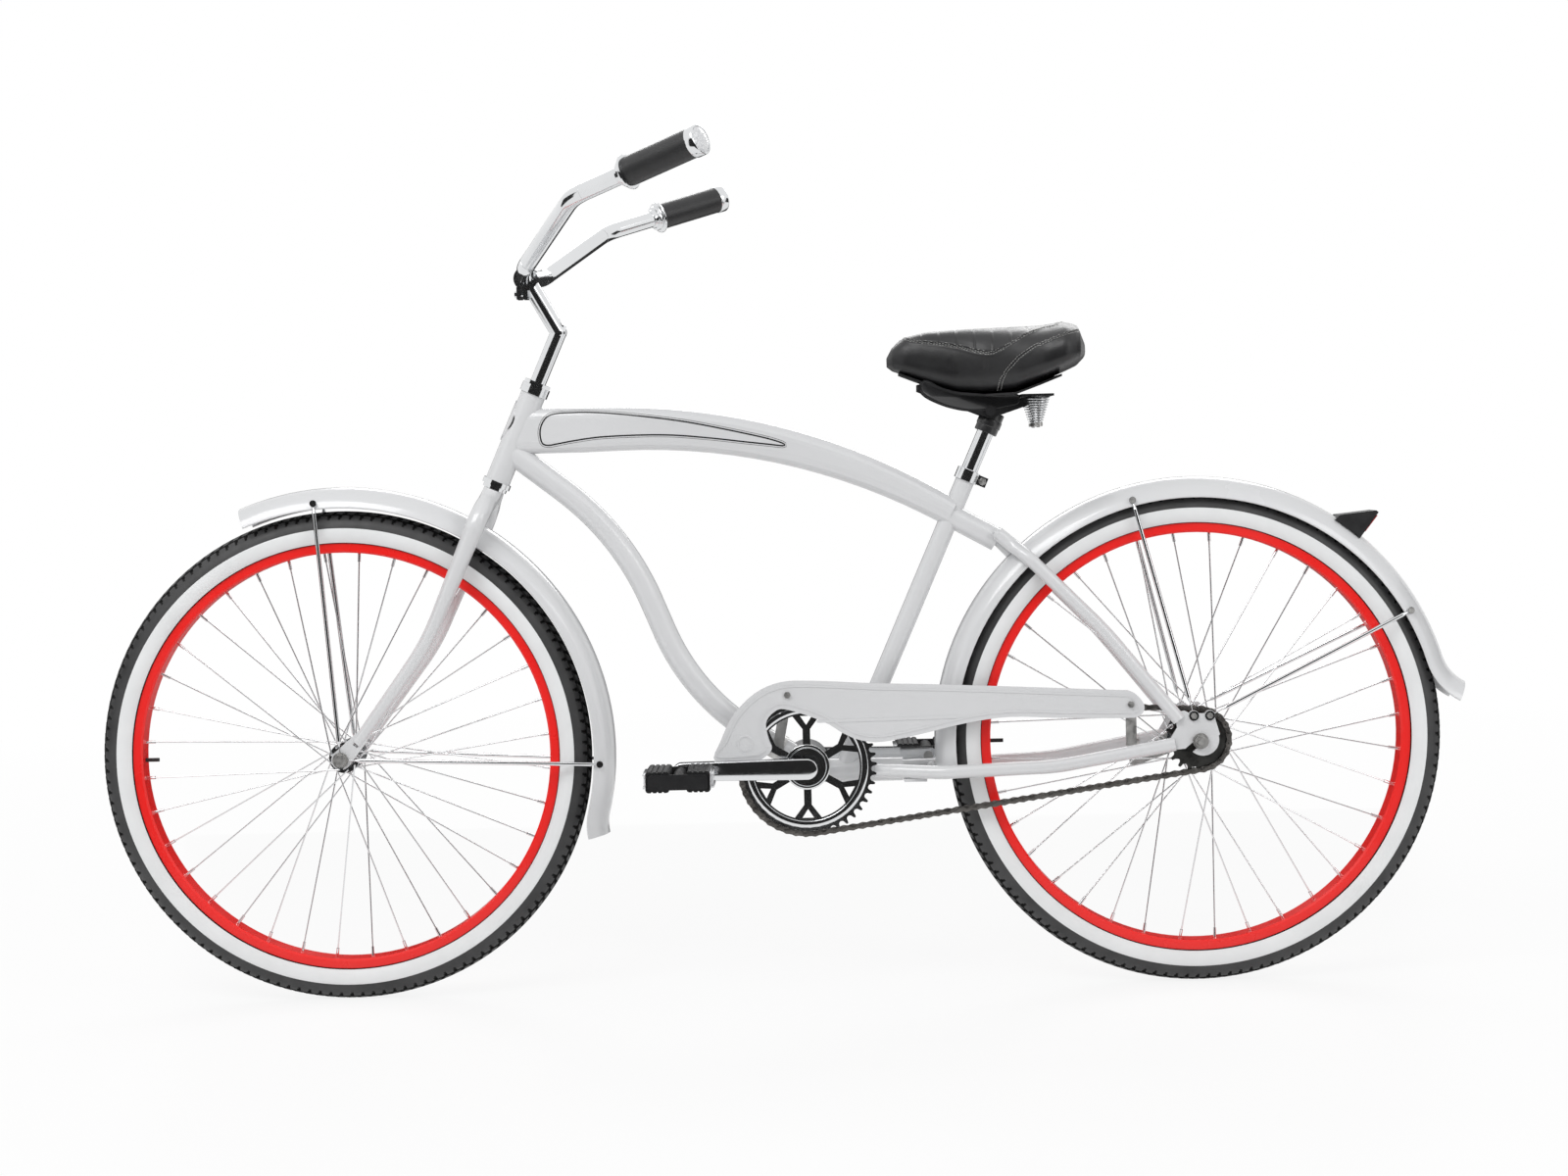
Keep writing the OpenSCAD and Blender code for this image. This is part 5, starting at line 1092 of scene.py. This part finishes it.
def seen_rays(tree):
    """One for a ray that the camera, a mirror or glass sends, and nought for light itself."""
    path = tree.nodes.new("ShaderNodeLightPath")
    last = path.outputs["Is Camera Ray"]
    for name in ("Is Glossy Ray", "Is Transmission Ray"):
        both = tree.nodes.new("ShaderNodeMath")
        both.operation = "MAXIMUM"
        tree.links.new(last, both.inputs[0])
        tree.links.new(path.outputs[name], both.inputs[1])
        last = both.outputs[0]
    return last


def floor_material():
    """Pale ground whose seen brightness rises to white with the distance from the bicycle."""
    n = Nodes("floor")
    n.set(Base_Color=(0.86, 0.86, 0.86, 1), Roughness=0.4, Specular_IOR_Level=0.25)
    glow = n.add("ShaderNodeEmission", Color=(1, 1, 1, 1), Strength=1.0)
    mix = n.tree.nodes.new("ShaderNodeMixShader")
    far = n.tree.nodes.new("ShaderNodeVectorMath")
    far.operation = "LENGTH"
    n.put(far, 0, n.place())
    reach = n.add("ShaderNodeMapRange", Value=far.outputs["Value"], From_Min=GLOW_FROM,
                  From_Max=GLOW_TO, To_Min=FLOOR_GLOW, To_Max=1.0)
    n.put(mix, 0, n.math("MULTIPLY", seen_rays(n.tree), reach.outputs["Result"]))
    n.put(mix, 1, n.shader.outputs[0])
    n.put(mix, 2, glow.outputs[0])
    n.put(n.tree.nodes["Material Output"], "Surface", mix.outputs[0])
    return n.mat


def stage_plane(name, corners, material):
    mesh = bpy.data.meshes.new(name)
    mesh.from_pydata([tuple(c) for c in corners], [], [(0, 1, 2, 3)])
    mesh.materials.append(material)
    obj = bpy.data.objects.new(name, mesh)
    link(obj)
    return obj


CORNERS = ((-1, -1), (1, -1), (1, 1), (-1, 1))
stage_plane("floor", [(x * FLOOR_HALF, y * FLOOR_HALF, 0) for x, y in CORNERS], floor_material())


def make_world():
    """Soft light from all round, and plain white for the rays that see it."""
    world = bpy.data.worlds.new("world")
    bpy.context.scene.world = world
    world.use_nodes = True
    tree = world.node_tree
    tree.nodes.clear()
    out = tree.nodes.new("ShaderNodeOutputWorld")
    mix = tree.nodes.new("ShaderNodeMixShader")
    tree.links.new(seen_rays(tree), mix.inputs[0])
    for slot, strength in ((1, WORLD_LIGHT), (2, 1)):
        light = tree.nodes.new("ShaderNodeBackground")
        light.inputs["Color"].default_value = (1, 1, 1, 1)
        light.inputs["Strength"].default_value = strength
        tree.links.new(light.outputs[0], mix.inputs[slot])
    tree.links.new(mix.outputs[0], out.inputs["Surface"])


make_world()


# Dark flags round the set, which only reflections see, so that bright metal has an edge and a core
FLAG_HIGH = 1.3


def flag(name, at, wide, grey):
    turn = math.atan2(at[1], at[0]) + math.pi / 2
    along = Vector((math.cos(turn), math.sin(turn), 0)) * wide / 2
    base, up = Vector(at), Vector((0, 0, FLAG_HIGH))
    n = Nodes(name)
    n.set(Base_Color=(grey, grey, grey, 1), Roughness=1.0, Specular_IOR_Level=0.0)
    obj = stage_plane(name, [base - along, base + along, base + along + up, base - along + up], n.mat)
    obj.visible_camera = False
    obj.visible_diffuse = False
    obj.visible_transmission = False
    obj.visible_shadow = False


flag("flag_front", (0.0, -1.15, 0.004), 2.7, 0.03)
flag("flag_back", (0.0, 1.6, 0.004), 2.4, 0.04)
flag("flag_left", (-2.4, -0.1, 0.0), 1.6, 0.04)
flag("flag_right", (2.4, 0.1, 0.0), 1.6, 0.04)


def lamp(name, at, aim, size, power):
    data = bpy.data.lights.new(name, "AREA")
    data.shape = "RECTANGLE"
    data.size, data.size_y = size
    data.energy = power
    obj = bpy.data.objects.new(name, data)
    obj.location = at
    obj.rotation_euler = (Vector(aim) - Vector(at)).to_track_quat("-Z", "Y").to_euler()
    link(obj)


lamp("key", (-1.6, -2.6, 3.2), (0, 0, 0.5), (2.6, 1.6), 70)
lamp("fill", (2.4, -2.8, 1.8), (0.1, 0, 0.5), (1.8, 1.8), 28)
lamp("rim", (0.3, 3.0, 2.6), (0, 0, 0.5), (3.2, 1.2), 45)
